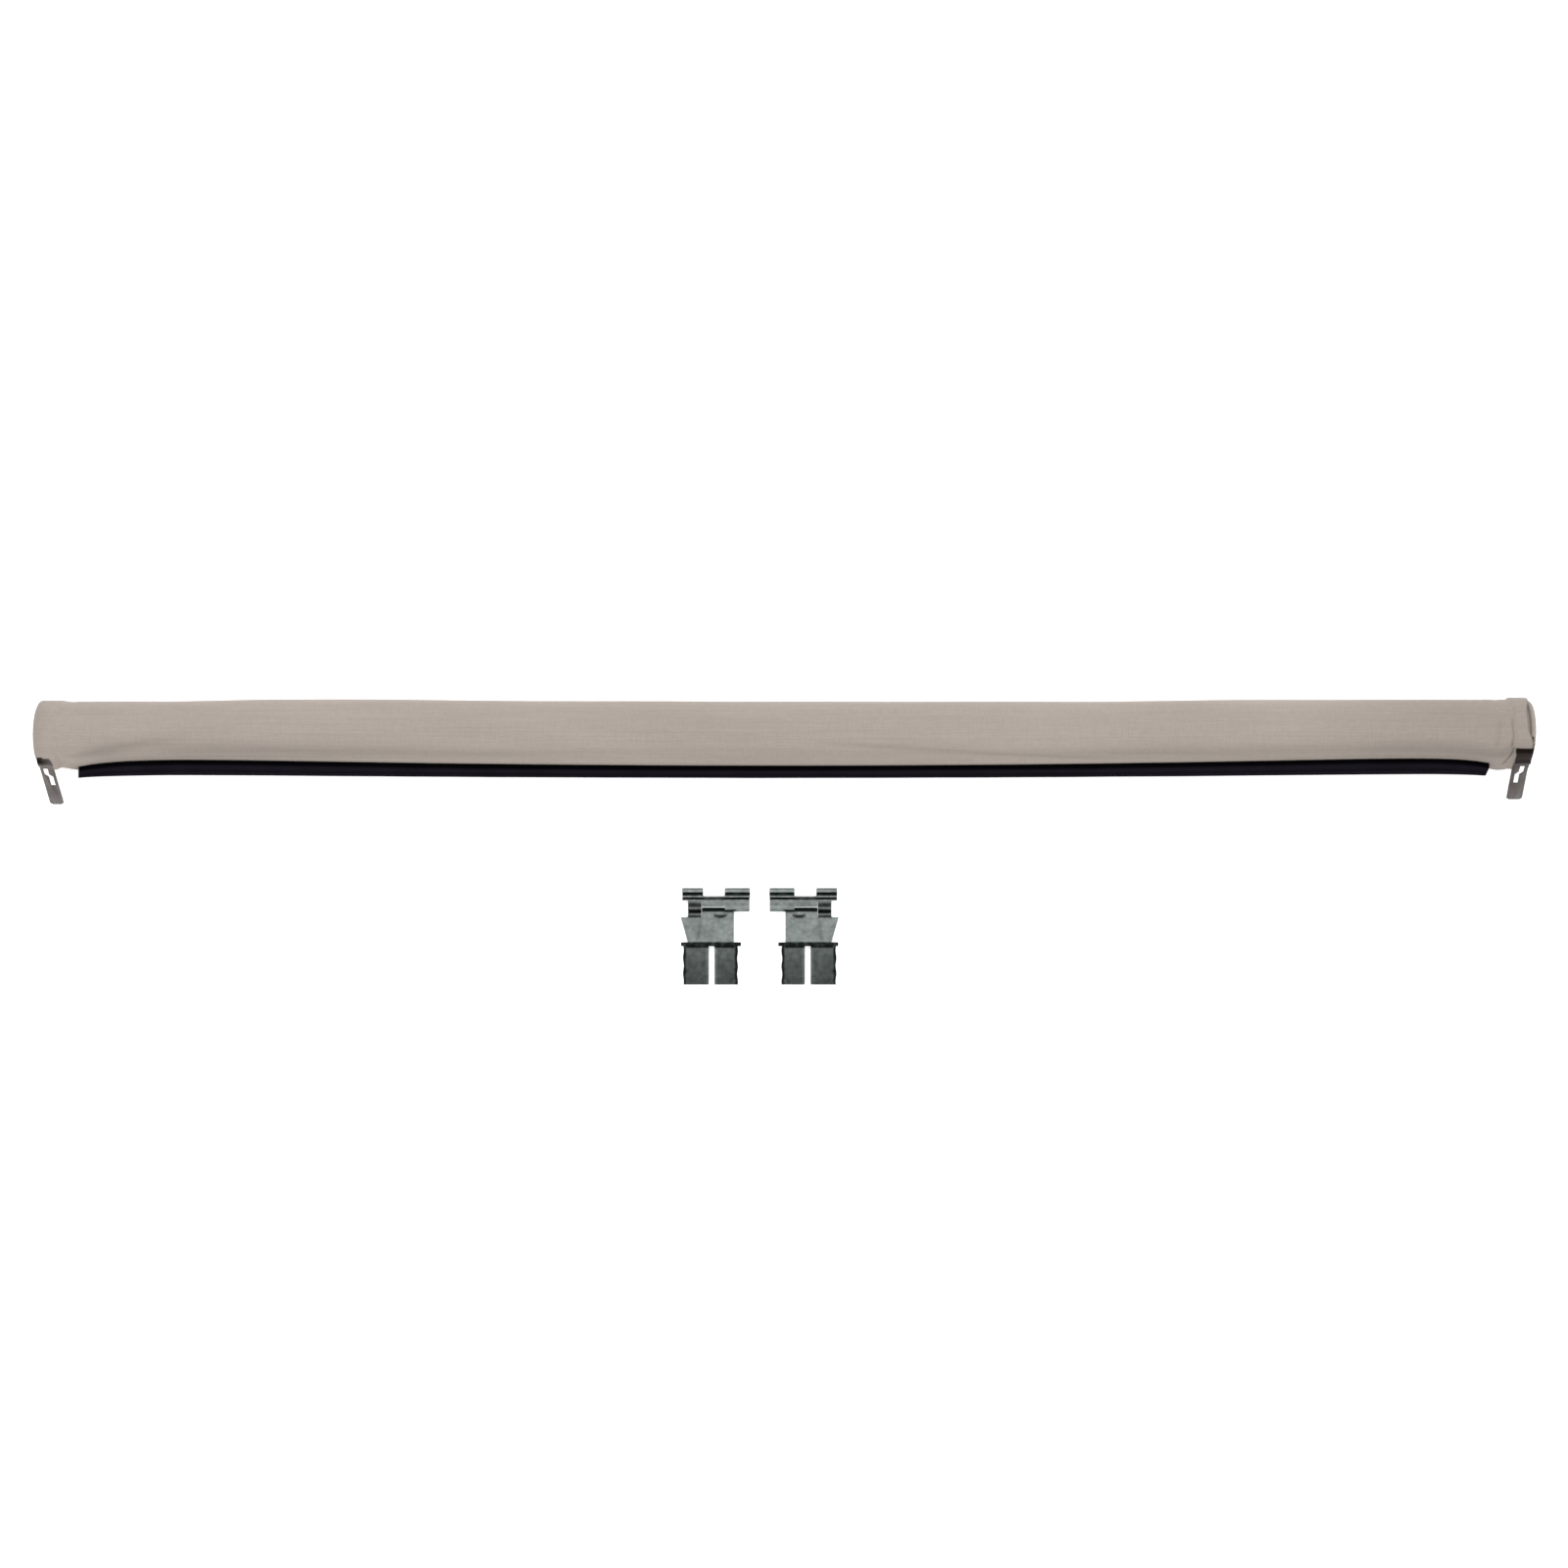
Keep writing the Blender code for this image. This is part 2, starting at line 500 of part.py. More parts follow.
for side_name, side, lean, short, slot_up in (
    ("left", -1, LEFT_TAB_LEAN, 0.0, 0.0), ("right", 1, RIGHT_TAB_LEAN, RIGHT_TAB_SHORT, RIGHT_SLOT_UP),
):
    sleeve_outer = [(HEM_INNER_X, SLEEVE_LOW), (HALF_CLOTH, SLEEVE_LOW), (HALF_CLOTH, SLEEVE_HIGH),
                    (HEM_INNER_X, SLEEVE_HIGH)]
    inner_x = TAPE_INNER_X[side_name]
    hole_in, hole_out = inner_x - GAP, TAPE_OUTER_X + GAP
    hole_low, hole_high = SLEEVE_LOW + HEM_LAYER, SLEEVE_HIGH - HEM_LAYER
    sleeve_inner = [(hole_in, hole_low), (hole_out, hole_low), (hole_out, hole_high), (hole_in, hole_high)]
    sleeve_faces = [[(side * x, -SLEEVE_START, z) for x, z in quad]
                    for quad in frame_between(sleeve_outer, sleeve_inner)]
    sleeve = swept(sleeve_faces, Vector((0, SLEEVE_START - FLAP_LENGTH, 0)))
    add(f"{side_name}_hem_end", sleeve, CLOTH, flap_slope)

    outline = tab_outline(inner_x, TAB_END - short)
    tab_mesh = swept([tab_points(outline, side, lean, TAPE_LOW)], Vector((0, 0, TAPE_THICKNESS)))
    tab = add(f"{side_name}_tape_tab", tab_mesh, TAPE_STEEL, flap_slope)
    slot_outline = [(x, u - slot_up) for x, u in slot_points((inner_x + TAPE_OUTER_X) / 2)]
    slot_face = tab_points(slot_outline, side, lean, TAPE_LOW - TAPE_THICKNESS)
    cut(tab, swept([slot_face], Vector((0, 0, 3 * TAPE_THICKNESS))), "slot")

# ---- clips: one folded steel stamping each -------------------------------------------------------

CLIP_COLUMNS = sorted({
    EAR_LEFT, RAIL_LEFT, LEG_LEFT, LEG_LEFT + LEG_EDGE, PLATE_LEFT, WEB_RIGHT, SLIT_RIGHT, GAP_LEFT,
    GAP_RIGHT, HOOK_RIGHT, PLATE_RIGHT, LEG_RIGHT - LEG_EDGE, LEG_RIGHT, EAR_RIGHT, RAIL_RIGHT,
})
FOLD_PATH = [(FOLD_FRONT, LEG_Z), (FOLD_BACK, PLATE_Z)]
WEB_PATH = [  # two small waves that spring the flange above the plate
    (PLATE_BACK, PLATE_Z), (18.8 * MM, 6.7 * MM), (20.9 * MM, 5.2 * MM), (23.2 * MM, 7.9 * MM),
    (25.4 * MM, 6.4 * MM), (FLANGE_FRONT, FLANGE_Z),
]
HOOK_PATH = [(RAIL_BACK, RAIL_Z), (HOOK_TOP, (RAIL_Z + HOOK_Z) / 2), (RAIL_BACK, HOOK_Z), (HOOK_LIP, HOOK_Z)]


def clip_mesh(side):
    """The clip's middle surface: strips of quads that share their points. side is 1 as drawn, -1 mirrored."""
    bm = bmesh.new()

    def panel(left, right, path):
        """A strip of quads from left to right, along a path of (y, z) points."""
        columns = [x for x in CLIP_COLUMNS if left <= x <= right]
        rows = [[bm.verts.new((side * x, y, z)) for x in columns] for y, z in path]
        for low, high in zip(rows, rows[1:]):
            for i in range(len(columns) - 1):
                bm.faces.new((low[i], low[i + 1], high[i + 1], high[i]))

    leg_path = [(-LEG_LENGTH, LEG_Z - LEG_RISE), (FOLD_FRONT, LEG_Z)]
    for left, right in ((LEG_LEFT + LEG_EDGE, GAP_LEFT), (GAP_RIGHT, LEG_RIGHT - LEG_EDGE)):
        panel(left, right, leg_path)
    for outer, inner in ((LEG_LEFT, LEG_LEFT + LEG_EDGE), (LEG_RIGHT, LEG_RIGHT - LEG_EDGE)):
        columns = [(inner, 0.0), (outer, LEG_EDGE), (outer, LEG_FLANGE)]
        rows = [[bm.verts.new((side * x, y, z - drop)) for x, drop in columns] for y, z in leg_path]
        for i in range(2):
            bm.faces.new((rows[0][i], rows[0][i + 1], rows[1][i + 1], rows[1][i]))
    panel(LEG_LEFT + LEG_EDGE, GAP_LEFT, FOLD_PATH)
    panel(GAP_RIGHT, LEG_RIGHT - LEG_EDGE, FOLD_PATH)
    panel(EAR_LEFT, EAR_RIGHT, [(FOLD_BACK, PLATE_Z), (EAR_BACK, PLATE_Z)])
    panel(PLATE_LEFT, PLATE_RIGHT, [(EAR_BACK, PLATE_Z), (PLATE_BACK, PLATE_Z)])
    wedge = [(PLATE_LEFT, EAR_BACK), (PLATE_LEFT, PLATE_BACK), (PLATE_POINT, PLATE_BACK)]
    bm.faces.new([bm.verts.new((side * x, y, PLATE_Z)) for x, y in wedge])
    panel(SLIT_RIGHT, PLATE_RIGHT, [(PLATE_BACK, PLATE_Z), (PLATE_UNDER, PLATE_Z)])
    panel(PLATE_LEFT, WEB_RIGHT, WEB_PATH)
    panel(SLIT_RIGHT, HOOK_RIGHT, [(FLANGE_STEP, FLANGE_Z), (FLANGE_FRONT, FLANGE_Z)])
    panel(HOOK_RIGHT, RAIL_RIGHT, [(FLANGE_LOW, FLANGE_Z), (FLANGE_STEP, FLANGE_Z), (FLANGE_FRONT, FLANGE_Z)])
    panel(PLATE_LEFT, RAIL_RIGHT, [(FLANGE_FRONT, FLANGE_Z), (FLANGE_BACK, FLANGE_Z), (RAIL_FRONT, RAIL_Z)])
    panel(RAIL_LEFT, RAIL_RIGHT, [(RAIL_FRONT, RAIL_Z), (RAIL_NOTCH, RAIL_Z)])
    for left, right in ((RAIL_LEFT, HOOK_LEFT), (HOOK_RIGHT, RAIL_RIGHT)):
        panel(left, right, [(RAIL_NOTCH, RAIL_Z)] + HOOK_PATH)
    bmesh.ops.remove_doubles(bm, verts=bm.verts, dist=1e-6)
    bmesh.ops.recalc_face_normals(bm, faces=bm.faces)
    return bm


# It rests on its legs' tips and on the plate's hidden end.
CLIP_FOOT_Z = LEG_Z - LEG_RISE - LEG_FLANGE
CLIP_LEAN = math.atan2(PLATE_Z - CLIP_THICKNESS / 2 - CLIP_FOOT_Z, LEG_LENGTH + PLATE_UNDER)
for clip_name, side in (("left_clip", 1), ("right_clip", -1)):
    clip_x = CLIP_PAIR_X - side * CLIP_SPACING / 2
    place = empty(f"{clip_name}_rest", (clip_x, AXIS_Y - FRONT_REACH, 0), -CLIP_LEAN)
    shape = clip_mesh(side)
    bmesh.ops.translate(shape, verts=shape.verts, vec=(0, LEG_LENGTH, -CLIP_FOOT_Z))
    stamping = add(clip_name, shape, CLIP_STEEL, place)
    gauge = stamping.modifiers.new("gauge", "SOLIDIFY")
    gauge.thickness = CLIP_THICKNESS
    gauge.offset = 0
    gauge.use_even_offset = True
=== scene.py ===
import math

import bmesh
import bpy
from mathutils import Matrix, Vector, noise


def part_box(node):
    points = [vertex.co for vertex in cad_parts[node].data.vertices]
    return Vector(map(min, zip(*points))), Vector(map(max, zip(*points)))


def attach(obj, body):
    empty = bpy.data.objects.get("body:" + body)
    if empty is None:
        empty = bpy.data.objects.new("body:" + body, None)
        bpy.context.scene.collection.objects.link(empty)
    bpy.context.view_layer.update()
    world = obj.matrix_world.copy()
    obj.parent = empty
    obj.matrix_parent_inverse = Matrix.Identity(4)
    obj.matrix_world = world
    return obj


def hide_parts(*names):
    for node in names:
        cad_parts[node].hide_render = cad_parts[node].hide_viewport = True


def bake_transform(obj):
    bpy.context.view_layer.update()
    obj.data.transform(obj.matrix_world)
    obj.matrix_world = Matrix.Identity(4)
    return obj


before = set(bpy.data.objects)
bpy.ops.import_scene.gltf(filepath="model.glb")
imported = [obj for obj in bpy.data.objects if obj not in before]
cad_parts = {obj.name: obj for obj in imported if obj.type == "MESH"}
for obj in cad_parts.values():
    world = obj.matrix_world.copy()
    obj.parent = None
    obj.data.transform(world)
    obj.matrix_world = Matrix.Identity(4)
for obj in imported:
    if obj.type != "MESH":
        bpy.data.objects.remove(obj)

for leftover in ("Cube", "Light", "Camera"):
    if leftover in bpy.data.objects:
        bpy.data.objects.remove(bpy.data.objects[leftover])
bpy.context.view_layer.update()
MM = 0.001

# ---- Table, light and camera ---------------------------------------------------------------------
# The blind lies on a white table top under one large soft light and pale walls.
# The camera hangs straight over it, a little nearer to the clips than the roll's axis is.

pin_low, pin_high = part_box("spring_arbor")
AXIS_Y, AXIS_Z = (pin_low.y + pin_high.y) / 2, (pin_low.z + pin_high.z) / 2
CAMERA_HEIGHT = 1450 * MM  # over the roll's axis
CAMERA_FORWARD = 32.7 * MM  # from the axis towards the clips
TABLE_SIZE = 8.0

bpy.ops.object.select_all(action="DESELECT")
bpy.ops.mesh.primitive_plane_add(size=TABLE_SIZE, location=(0, 0, 0))
table = bpy.context.object
table.name = "table_top"
table_white = bpy.data.materials.new("table_white")
table_white.use_nodes = True
table_shader = table_white.node_tree.nodes["Principled BSDF"]
table_shader.inputs["Base Color"].default_value = (0.93, 0.93, 0.93, 1)
table_shader.inputs["Roughness"].default_value = 0.9
table_shader.inputs["Specular IOR Level"].default_value = 0.1
table_shader.inputs["Emission Color"].default_value = (1, 1, 1, 1)
table_shader.inputs["Emission Strength"].default_value = 0.42
table.data.materials.append(table_white)

scene = bpy.context.scene
walls = bpy.data.worlds.new("pale_walls")
walls.use_nodes = True
walls.node_tree.nodes["Background"].inputs["Color"].default_value = (0.97, 0.98, 1.0, 1)
walls.node_tree.nodes["Background"].inputs["Strength"].default_value = 1.05
scene.world = walls
scene.view_settings.view_transform = "Standard"


def soft_box(name, place, aim, size, power):
    """A large rectangular lamp at place, turned towards aim."""
    lamp = bpy.data.lights.new(name, "AREA")
    lamp.shape, lamp.size, lamp.size_y, lamp.energy = "RECTANGLE", size[0], size[1], power
    holder = bpy.data.objects.new(name, lamp)
    scene.collection.objects.link(holder)
    holder.location = place
    holder.rotation_euler = (Vector(aim) - Vector(place)).to_track_quat("-Z", "Y").to_euler()
    return holder


soft_box("back_softbox", (0, 0.7, 1.9), (0, 0.05, 0), (2.6, 1.3), 11)
soft_box("front_softbox", (-0.9, -1.6, 1.8), (0, 0, 0), (1.2, 1.2), 3)

lens = bpy.data.cameras.new("camera")
lens.lens, lens.sensor_width = 51.9, 36
lens.clip_start, lens.clip_end = 0.05, 30
camera = bpy.data.objects.new("camera", lens)
scene.collection.objects.link(camera)
camera.location = (0, AXIS_Y - CAMERA_FORWARD, AXIS_Z + CAMERA_HEIGHT)
scene.camera = camera

# ---- Winding tube, bushes, pins and spring -------------------------------------------------------
# An extruded alloy tube runs on moulded nylon bushes and plated steel pins; an oiled wire spring
# inside it winds the cloth up. All of them are the CAD's own shapes and get their finish here.


def put_node(tree, kind, values=(), **settings):
    """Adds a node. values maps its inputs to plain values or to the sockets that feed them."""
    made = tree.nodes.new(kind)
    for key, setting in settings.items():
        setattr(made, key, setting)
    for key, value in dict(values).items():
        if isinstance(value, bpy.types.NodeSocket):
            tree.links.new(value, made.inputs[key])
        else:
            made.inputs[key].default_value = value
    return made


def start_group(name, inputs, outputs):
    """A new shader node group with its sockets. Returns its tree and its input and output nodes."""
    tree = bpy.data.node_groups.new(name, "ShaderNodeTree")
    for way, sockets in (("INPUT", inputs), ("OUTPUT", outputs)):
        for label, kind in sockets:
            tree.interface.new_socket(label, in_out=way, socket_type="NodeSocket" + kind)
    return tree, tree.nodes.new("NodeGroupInput"), tree.nodes.new("NodeGroupOutput")


# Grain drawn out along the piece, and soft patches, mixed into a colour, a roughness and a relief.
grain_group, asked, given = start_group(
    "drawn_grain",
    [("Main", "Color"), ("Second", "Color"), ("Grain", "Vector"), ("Patch", "Float"), ("Mix", "Float"),
     ("Smooth", "Float"), ("Rough", "Float"), ("Relief", "Float")],
    [("Color", "Color"), ("Roughness", "Float"), ("Normal", "Vector")],
)
place = put_node(grain_group, "ShaderNodeTexCoord").outputs["Object"]
fine_place = put_node(grain_group, "ShaderNodeVectorMath", {0: place, 1: asked.outputs["Grain"]},
                      operation="MULTIPLY").outputs[0]
fine = put_node(grain_group, "ShaderNodeTexNoise",
                {"Vector": fine_place, "Scale": 1.0, "Detail": 4.0, "Roughness": 0.6}).outputs[0]
patch = put_node(grain_group, "ShaderNodeTexNoise",
                 {"Vector": place, "Scale": asked.outputs["Patch"], "Detail": 3.0}).outputs[0]
patch_share = put_node(grain_group, "ShaderNodeMapRange",
                       {0: patch, 1: 0.35, 2: 0.65, 3: 0.0, 4: 0.6}).outputs[0]
fine_share = put_node(grain_group, "ShaderNodeMapRange",
                      {0: fine, 1: 0.3, 2: 0.7, 3: 0.0, 4: 0.4}).outputs[0]
both = put_node(grain_group, "ShaderNodeMath", {0: patch_share, 1: fine_share}, operation="ADD").outputs[0]
share = put_node(grain_group, "ShaderNodeMath",
                 {0: both, 1: asked.outputs["Mix"]}, operation="MULTIPLY").outputs[0]
tint = put_node(grain_group, "ShaderNodeMixRGB",
                {0: share, 1: asked.outputs["Main"], 2: asked.outputs["Second"]}).outputs[0]
rough = put_node(grain_group, "ShaderNodeMapRange", {
    0: fine, 1: 0.3, 2: 0.7, 3: asked.outputs["Smooth"], 4: asked.outputs["Rough"]}).outputs[0]
bumped = put_node(grain_group, "ShaderNodeBump", {
    "Height": fine, "Strength": 1.0, "Distance": asked.outputs["Relief"]}).outputs[0]
for label, socket in (("Color", tint), ("Roughness", rough), ("Normal", bumped)):
    grain_group.links.new(socket, given.inputs[label])


def darkened_by_shade_and_soil(tree, colour, shade_and_soil):
    """Darkens a colour towards a darker one where the piece's own attribute says so. That darkening is mostly
    painted shade; where it is held back it paints a highlight, and a little of it is real mottling.
    """
    where = put_node(tree, "ShaderNodeAttribute", attribute_name="shade_and_soil").outputs["Fac"]
    return put_node(tree, "ShaderNodeMixRGB", {0: where, 1: colour, 2: (*shade_and_soil, 1)}).outputs[0]


def grained(name, main, second, grain, patch_size, mix, roughness, relief, shade_and_soil=None, **shader_values):
    """A material whose look comes from drawn_grain. grain is how many grains a metre on each axis."""
    made = bpy.data.materials.new(name)
    made.use_nodes = True
    tree = made.node_tree
    look = put_node(tree, "ShaderNodeGroup", node_tree=grain_group)
    for label, value in (("Main", (*main, 1)), ("Second", (*second, 1)), ("Grain", grain),
                         ("Patch", 1 / patch_size), ("Mix", mix), ("Smooth", roughness[0]),
                         ("Rough", roughness[1]), ("Relief", relief)):
        look.inputs[label].default_value = value
    shader = tree.nodes["Principled BSDF"]
    colour = darkened_by_shade_and_soil(tree, look.outputs["Color"], shade_and_soil) if shade_and_soil else look.outputs["Color"]
    tree.links.new(colour, shader.inputs["Base Color"])
    tree.links.new(look.outputs["Roughness"], shader.inputs["Roughness"])
    tree.links.new(look.outputs["Normal"], shader.inputs["Normal"])
    for label, value in shader_values.items():
        shader.inputs[label.replace("_", " ")].default_value = value
    return made


def finish_node(name, material):
    """Gives a CAD node its material."""
    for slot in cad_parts[name].material_slots:
        slot.material = material


drawn_alloy = grained("drawn_alloy", (0.62, 0.62, 0.63), (0.45, 0.45, 0.46), (30, 2500, 2500), 0.03, 0.8,
                      (0.28, 0.45), 0.01 * MM, Metallic=1.0)
moulded_nylon = grained("moulded_nylon", (0.018, 0.018, 0.02), (0.03, 0.03, 0.032), (2200, 2200, 2200), 0.008,
                        1.0, (0.4, 0.55), 0.02 * MM, Specular_IOR_Level=0.35)
plated_steel = grained("plated_steel", (0.5, 0.5, 0.52), (0.34, 0.34, 0.34), (900, 900, 900), 0.004, 0.8,
                       (0.22, 0.38), 0.006 * MM, Metallic=1.0)
oiled_wire = grained("oiled_wire", (0.16, 0.15, 0.15), (0.08, 0.07, 0.06), (600, 600, 600), 0.006, 1.0,
                     (0.25, 0.4), 0.006 * MM, Metallic=1.0)
white_vinyl = grained("white_vinyl", (0.7, 0.7, 0.67), (0.6, 0.6, 0.56), (40, 1500, 1500), 0.02, 0.8,
                      (0.4, 0.55), 0.01 * MM)
for node_name, node_finish in (
    ("roller_tube", drawn_alloy), ("left_end_bush", moulded_nylon), ("right_end_bush", moulded_nylon),
    ("spring_drive_plug", moulded_nylon), ("spring_fixed_plug", moulded_nylon),
    ("spring_arbor", plated_steel),
    ("idle_pin", plated_steel), ("arbor_cross_pin", plated_steel), ("arbor_circlip", plated_steel),
    ("left_thrust_washer", plated_steel), ("right_thrust_washer", plated_steel),
    ("torsion_spring", oiled_wire), ("cloth_anchor_spline", white_vinyl),
):
    finish_node(node_name, node_finish)

# ---- Wound cloth ---------------------------------------------------------------------------------
# Eleven turns of a beige woven shade cloth, 951 mm wide, wound on the tube. Both side hems are folded
# over a thin steel tape, so the roll stands a little higher there and its ends show every turn.

TUBE_RADIUS = 12.0 * MM
CLOTH_THICKNESS = 0.5 * MM
MAIN_RADIUS = 19.9 * MM
HEM_RADII = {-1: 20.7 * MM, 1: 20.95 * MM}
HEM_RISES = {-1: (455 * MM, 463.5 * MM), 1: (461.8 * MM, 464.8 * MM)}  # where the roll steps up to the hem
NECK = 0.35 * MM  # the roll is drawn in just inside the left hem
LEAVE = math.radians(50)  # from the top of the roll, where the free edge leaves it
BOTTOM = math.radians(-180)
WOUND_TURNS = 11
INNER_RADIUS = TUBE_RADIUS + 0.45 * MM + CLOTH_THICKNESS
# The last colour is what the cloth is darkened towards: painted shade in its creases, gaps and mouths, and a
# darker tone towards its ends.
SLUB_COLOUR, SHADE_COLOUR, SHADE_AND_SOIL_COLOUR = (0.385, 0.33, 0.285), (0.32, 0.275, 0.24), (0.045, 0.042, 0.036)


def ease(value, low, high):
    """0 below low, 1 above high, and smooth between them."""
    share = min(1.0, max(0.0, (value - low) / (high - low)))
    return share * share * (3 - 2 * share)


def gauss(value, middle, width):
    """1 at the middle, falling off on both sides over width."""
    return math.exp(-((value - middle) / width) ** 2)


def hem_share(x):
    """How much of the hem's thickness the roll has at x."""
    return ease(abs(x), *HEM_RISES[1 if x > 0 else -1])


def turn_radius(x, swing):
    """Radius of the cloth's outer face. swing is the angle from the top, forwards, and falls turn by turn."""
    outer = MAIN_RADIUS + hem_share(x) * (HEM_RADII[1 if x > 0 else -1] - MAIN_RADIUS)
    outer -= NECK * gauss(x, -457 * MM, 6 * MM)
    down = -math.cos(swing)
    if down > 0.9:
        outer = min(outer, (AXIS_Z - 0.06 * MM) / down)  # the roll lies flat on the table
    turns = (LEAVE - swing) / (2 * math.pi)
    all_turns = WOUND_TURNS + (LEAVE - BOTTOM) / (2 * math.pi)
    return outer - (outer - INNER_RADIUS) * turns / all_turns


def loose_back(x, swing):
    """Behind the roll the outer turn hangs a little loose, most on the left and towards the right end."""
    mm_x, degrees = x / MM, math.degrees(swing)
    left = 1.45 * ease(mm_x, -400, -320) * (1 - ease(mm_x, -290, -120))
    right = 1.2 * ease(mm_x, 190, 320) * (1 - 0.3 * ease(mm_x, 461, 466))
    behind = ease(degrees, -165, -100) * (1 - ease(degrees, -80, -15))
    return (0.25 + left + right) * behind * MM


def on_roll(x, swing, radius):
    """The point at radius from the roll's axis, swing round it from the top."""
    return Vector((x, AXIS_Y - radius * math.sin(swing), AXIS_Z + radius * math.cos(swing)))


def pick(thing):
    """Makes thing the one selected and active object."""
    bpy.ops.object.select_all(action="DESELECT")
    thing.select_set(True)
    bpy.context.view_layer.objects.active = thing


def closed_layer(name, outer, inner, material, present=None, shade_and_soil=None):
    """A thin closed layer between two grids of points. present says which of their squares it has, and
    the last grid how far each point is darkened, mostly by painted shade."""
    rows, columns = len(outer), len(outer[0])
    points = [p for row in outer for p in row] + [p for row in inner for p in row]
    squares = [
        (i * columns + j, i * columns + j + 1, (i + 1) * columns + j + 1, (i + 1) * columns + j)
        for i in range(rows - 1) for j in range(columns - 1) if present is None or present(i, j)
    ]
    half = rows * columns
    edges = {(square[k], square[(k + 1) % 4]) for square in squares for k in range(4)}
    faces = squares + [tuple(v + half for v in reversed(square)) for square in squares]
    faces += [(b, a, a + half, b + half) for a, b in sorted(edges) if (b, a) not in edges]
    mesh = bpy.data.meshes.new(name)
    mesh.from_pydata(points, [], faces)
    marks = mesh.attributes.new("shade_and_soil", "FLOAT", "POINT")
    if shade_and_soil:
        marks.data.foreach_set("value", [v for row in shade_and_soil for v in row] * 2)
    made = bpy.data.objects.new(name, mesh)
    scene.collection.objects.link(made)
    pick(made)
    bpy.ops.object.mode_set(mode="EDIT")
    bpy.ops.mesh.select_all(action="SELECT")
    bpy.ops.mesh.delete_loose()
    bpy.ops.mesh.select_all(action="SELECT")
    bpy.ops.mesh.normals_make_consistent(inside=False)
    bpy.ops.object.mode_set(mode="OBJECT")
    bpy.ops.object.shade_smooth_by_angle(angle=math.radians(40))
    mesh.materials.append(material)
    return made


# The weave: slubby threads along the roll, finer threads across it, and soft uneven dyeing.
weave_group, asked, given = start_group(
    "slub_weave", [("Thread", "Color"), ("Shade", "Color"), ("Relief", "Float")],
    [("Color", "Color"), ("Roughness", "Float"), ("Normal", "Vector")],
)
place = put_node(weave_group, "ShaderNodeTexCoord").outputs["Object"]
threads = []
for stretch, detail in (
    ((14, 950, 950), 3.0), ((160, 2600, 2600), 2.0), ((2300, 160, 160), 2.0), ((9, 26, 26), 2.0),
):
    along = put_node(weave_group, "ShaderNodeVectorMath",
                     {0: place, 1: stretch}, operation="MULTIPLY").outputs[0]
    threads.append(put_node(weave_group, "ShaderNodeTexNoise",
                            {"Vector": along, "Scale": 1.0, "Detail": detail}).outputs[0])
slub, thread_along, thread_across, dye = threads
crossed = put_node(weave_group, "ShaderNodeMath",
                   {0: thread_along, 1: thread_across}, operation="ADD").outputs[0]
height = put_node(weave_group, "ShaderNodeMath", {0: crossed, 1: slub}, operation="ADD").outputs[0]
dark = put_node(weave_group, "ShaderNodeMapRange", {0: height, 1: 1.25, 2: 1.8, 3: 0.7, 4: 0.0}).outputs[0]
dyed = put_node(weave_group, "ShaderNodeMapRange", {0: dye, 1: 0.35, 2: 0.65, 3: 0.0, 4: 0.35}).outputs[0]
share = put_node(weave_group, "ShaderNodeMath",
                 {0: dark, 1: dyed}, operation="ADD", use_clamp=True).outputs[0]
tint = put_node(weave_group, "ShaderNodeMixRGB",
                {0: share, 1: asked.outputs["Thread"], 2: asked.outputs["Shade"]}).outputs[0]
rough = put_node(weave_group, "ShaderNodeMapRange",
                 {0: height, 1: 1.2, 2: 1.8, 3: 0.95, 4: 0.75}).outputs[0]
bumped = put_node(weave_group, "ShaderNodeBump", {
    "Height": height, "Strength": 1.0, "Distance": asked.outputs["Relief"]}).outputs[0]
for label, socket in (("Color", tint), ("Roughness", rough), ("Normal", bumped)):
    weave_group.links.new(socket, given.inputs[label])


def woven(name, thread, shade, relief, shade_and_soil):
    """A cloth material that takes its look from slub_weave."""
    made = bpy.data.materials.new(name)
    made.use_nodes = True
    tree = made.node_tree
    look = put_node(tree, "ShaderNodeGroup", node_tree=weave_group)
    look.inputs["Thread"].default_value = (*thread, 1)
    look.inputs["Shade"].default_value = (*shade, 1)
    look.inputs["Relief"].default_value = relief
    shader = tree.nodes["Principled BSDF"]
    tree.links.new(darkened_by_shade_and_soil(tree, look.outputs["Color"], shade_and_soil), shader.inputs["Base Color"])
    tree.links.new(look.outputs["Roughness"], shader.inputs["Roughness"])
    tree.links.new(look.outputs["Normal"], shader.inputs["Normal"])
    shader.inputs["Specular IOR Level"].default_value = 0.15
    shader.inputs["Sheen Weight"].default_value = 0.12
    shader.inputs["Sheen Roughness"].default_value = 0.5
    return made


shade_cloth = woven("shade_cloth", SLUB_COLOUR, SHADE_COLOUR, 0.08 * MM, SHADE_AND_SOIL_COLOUR)

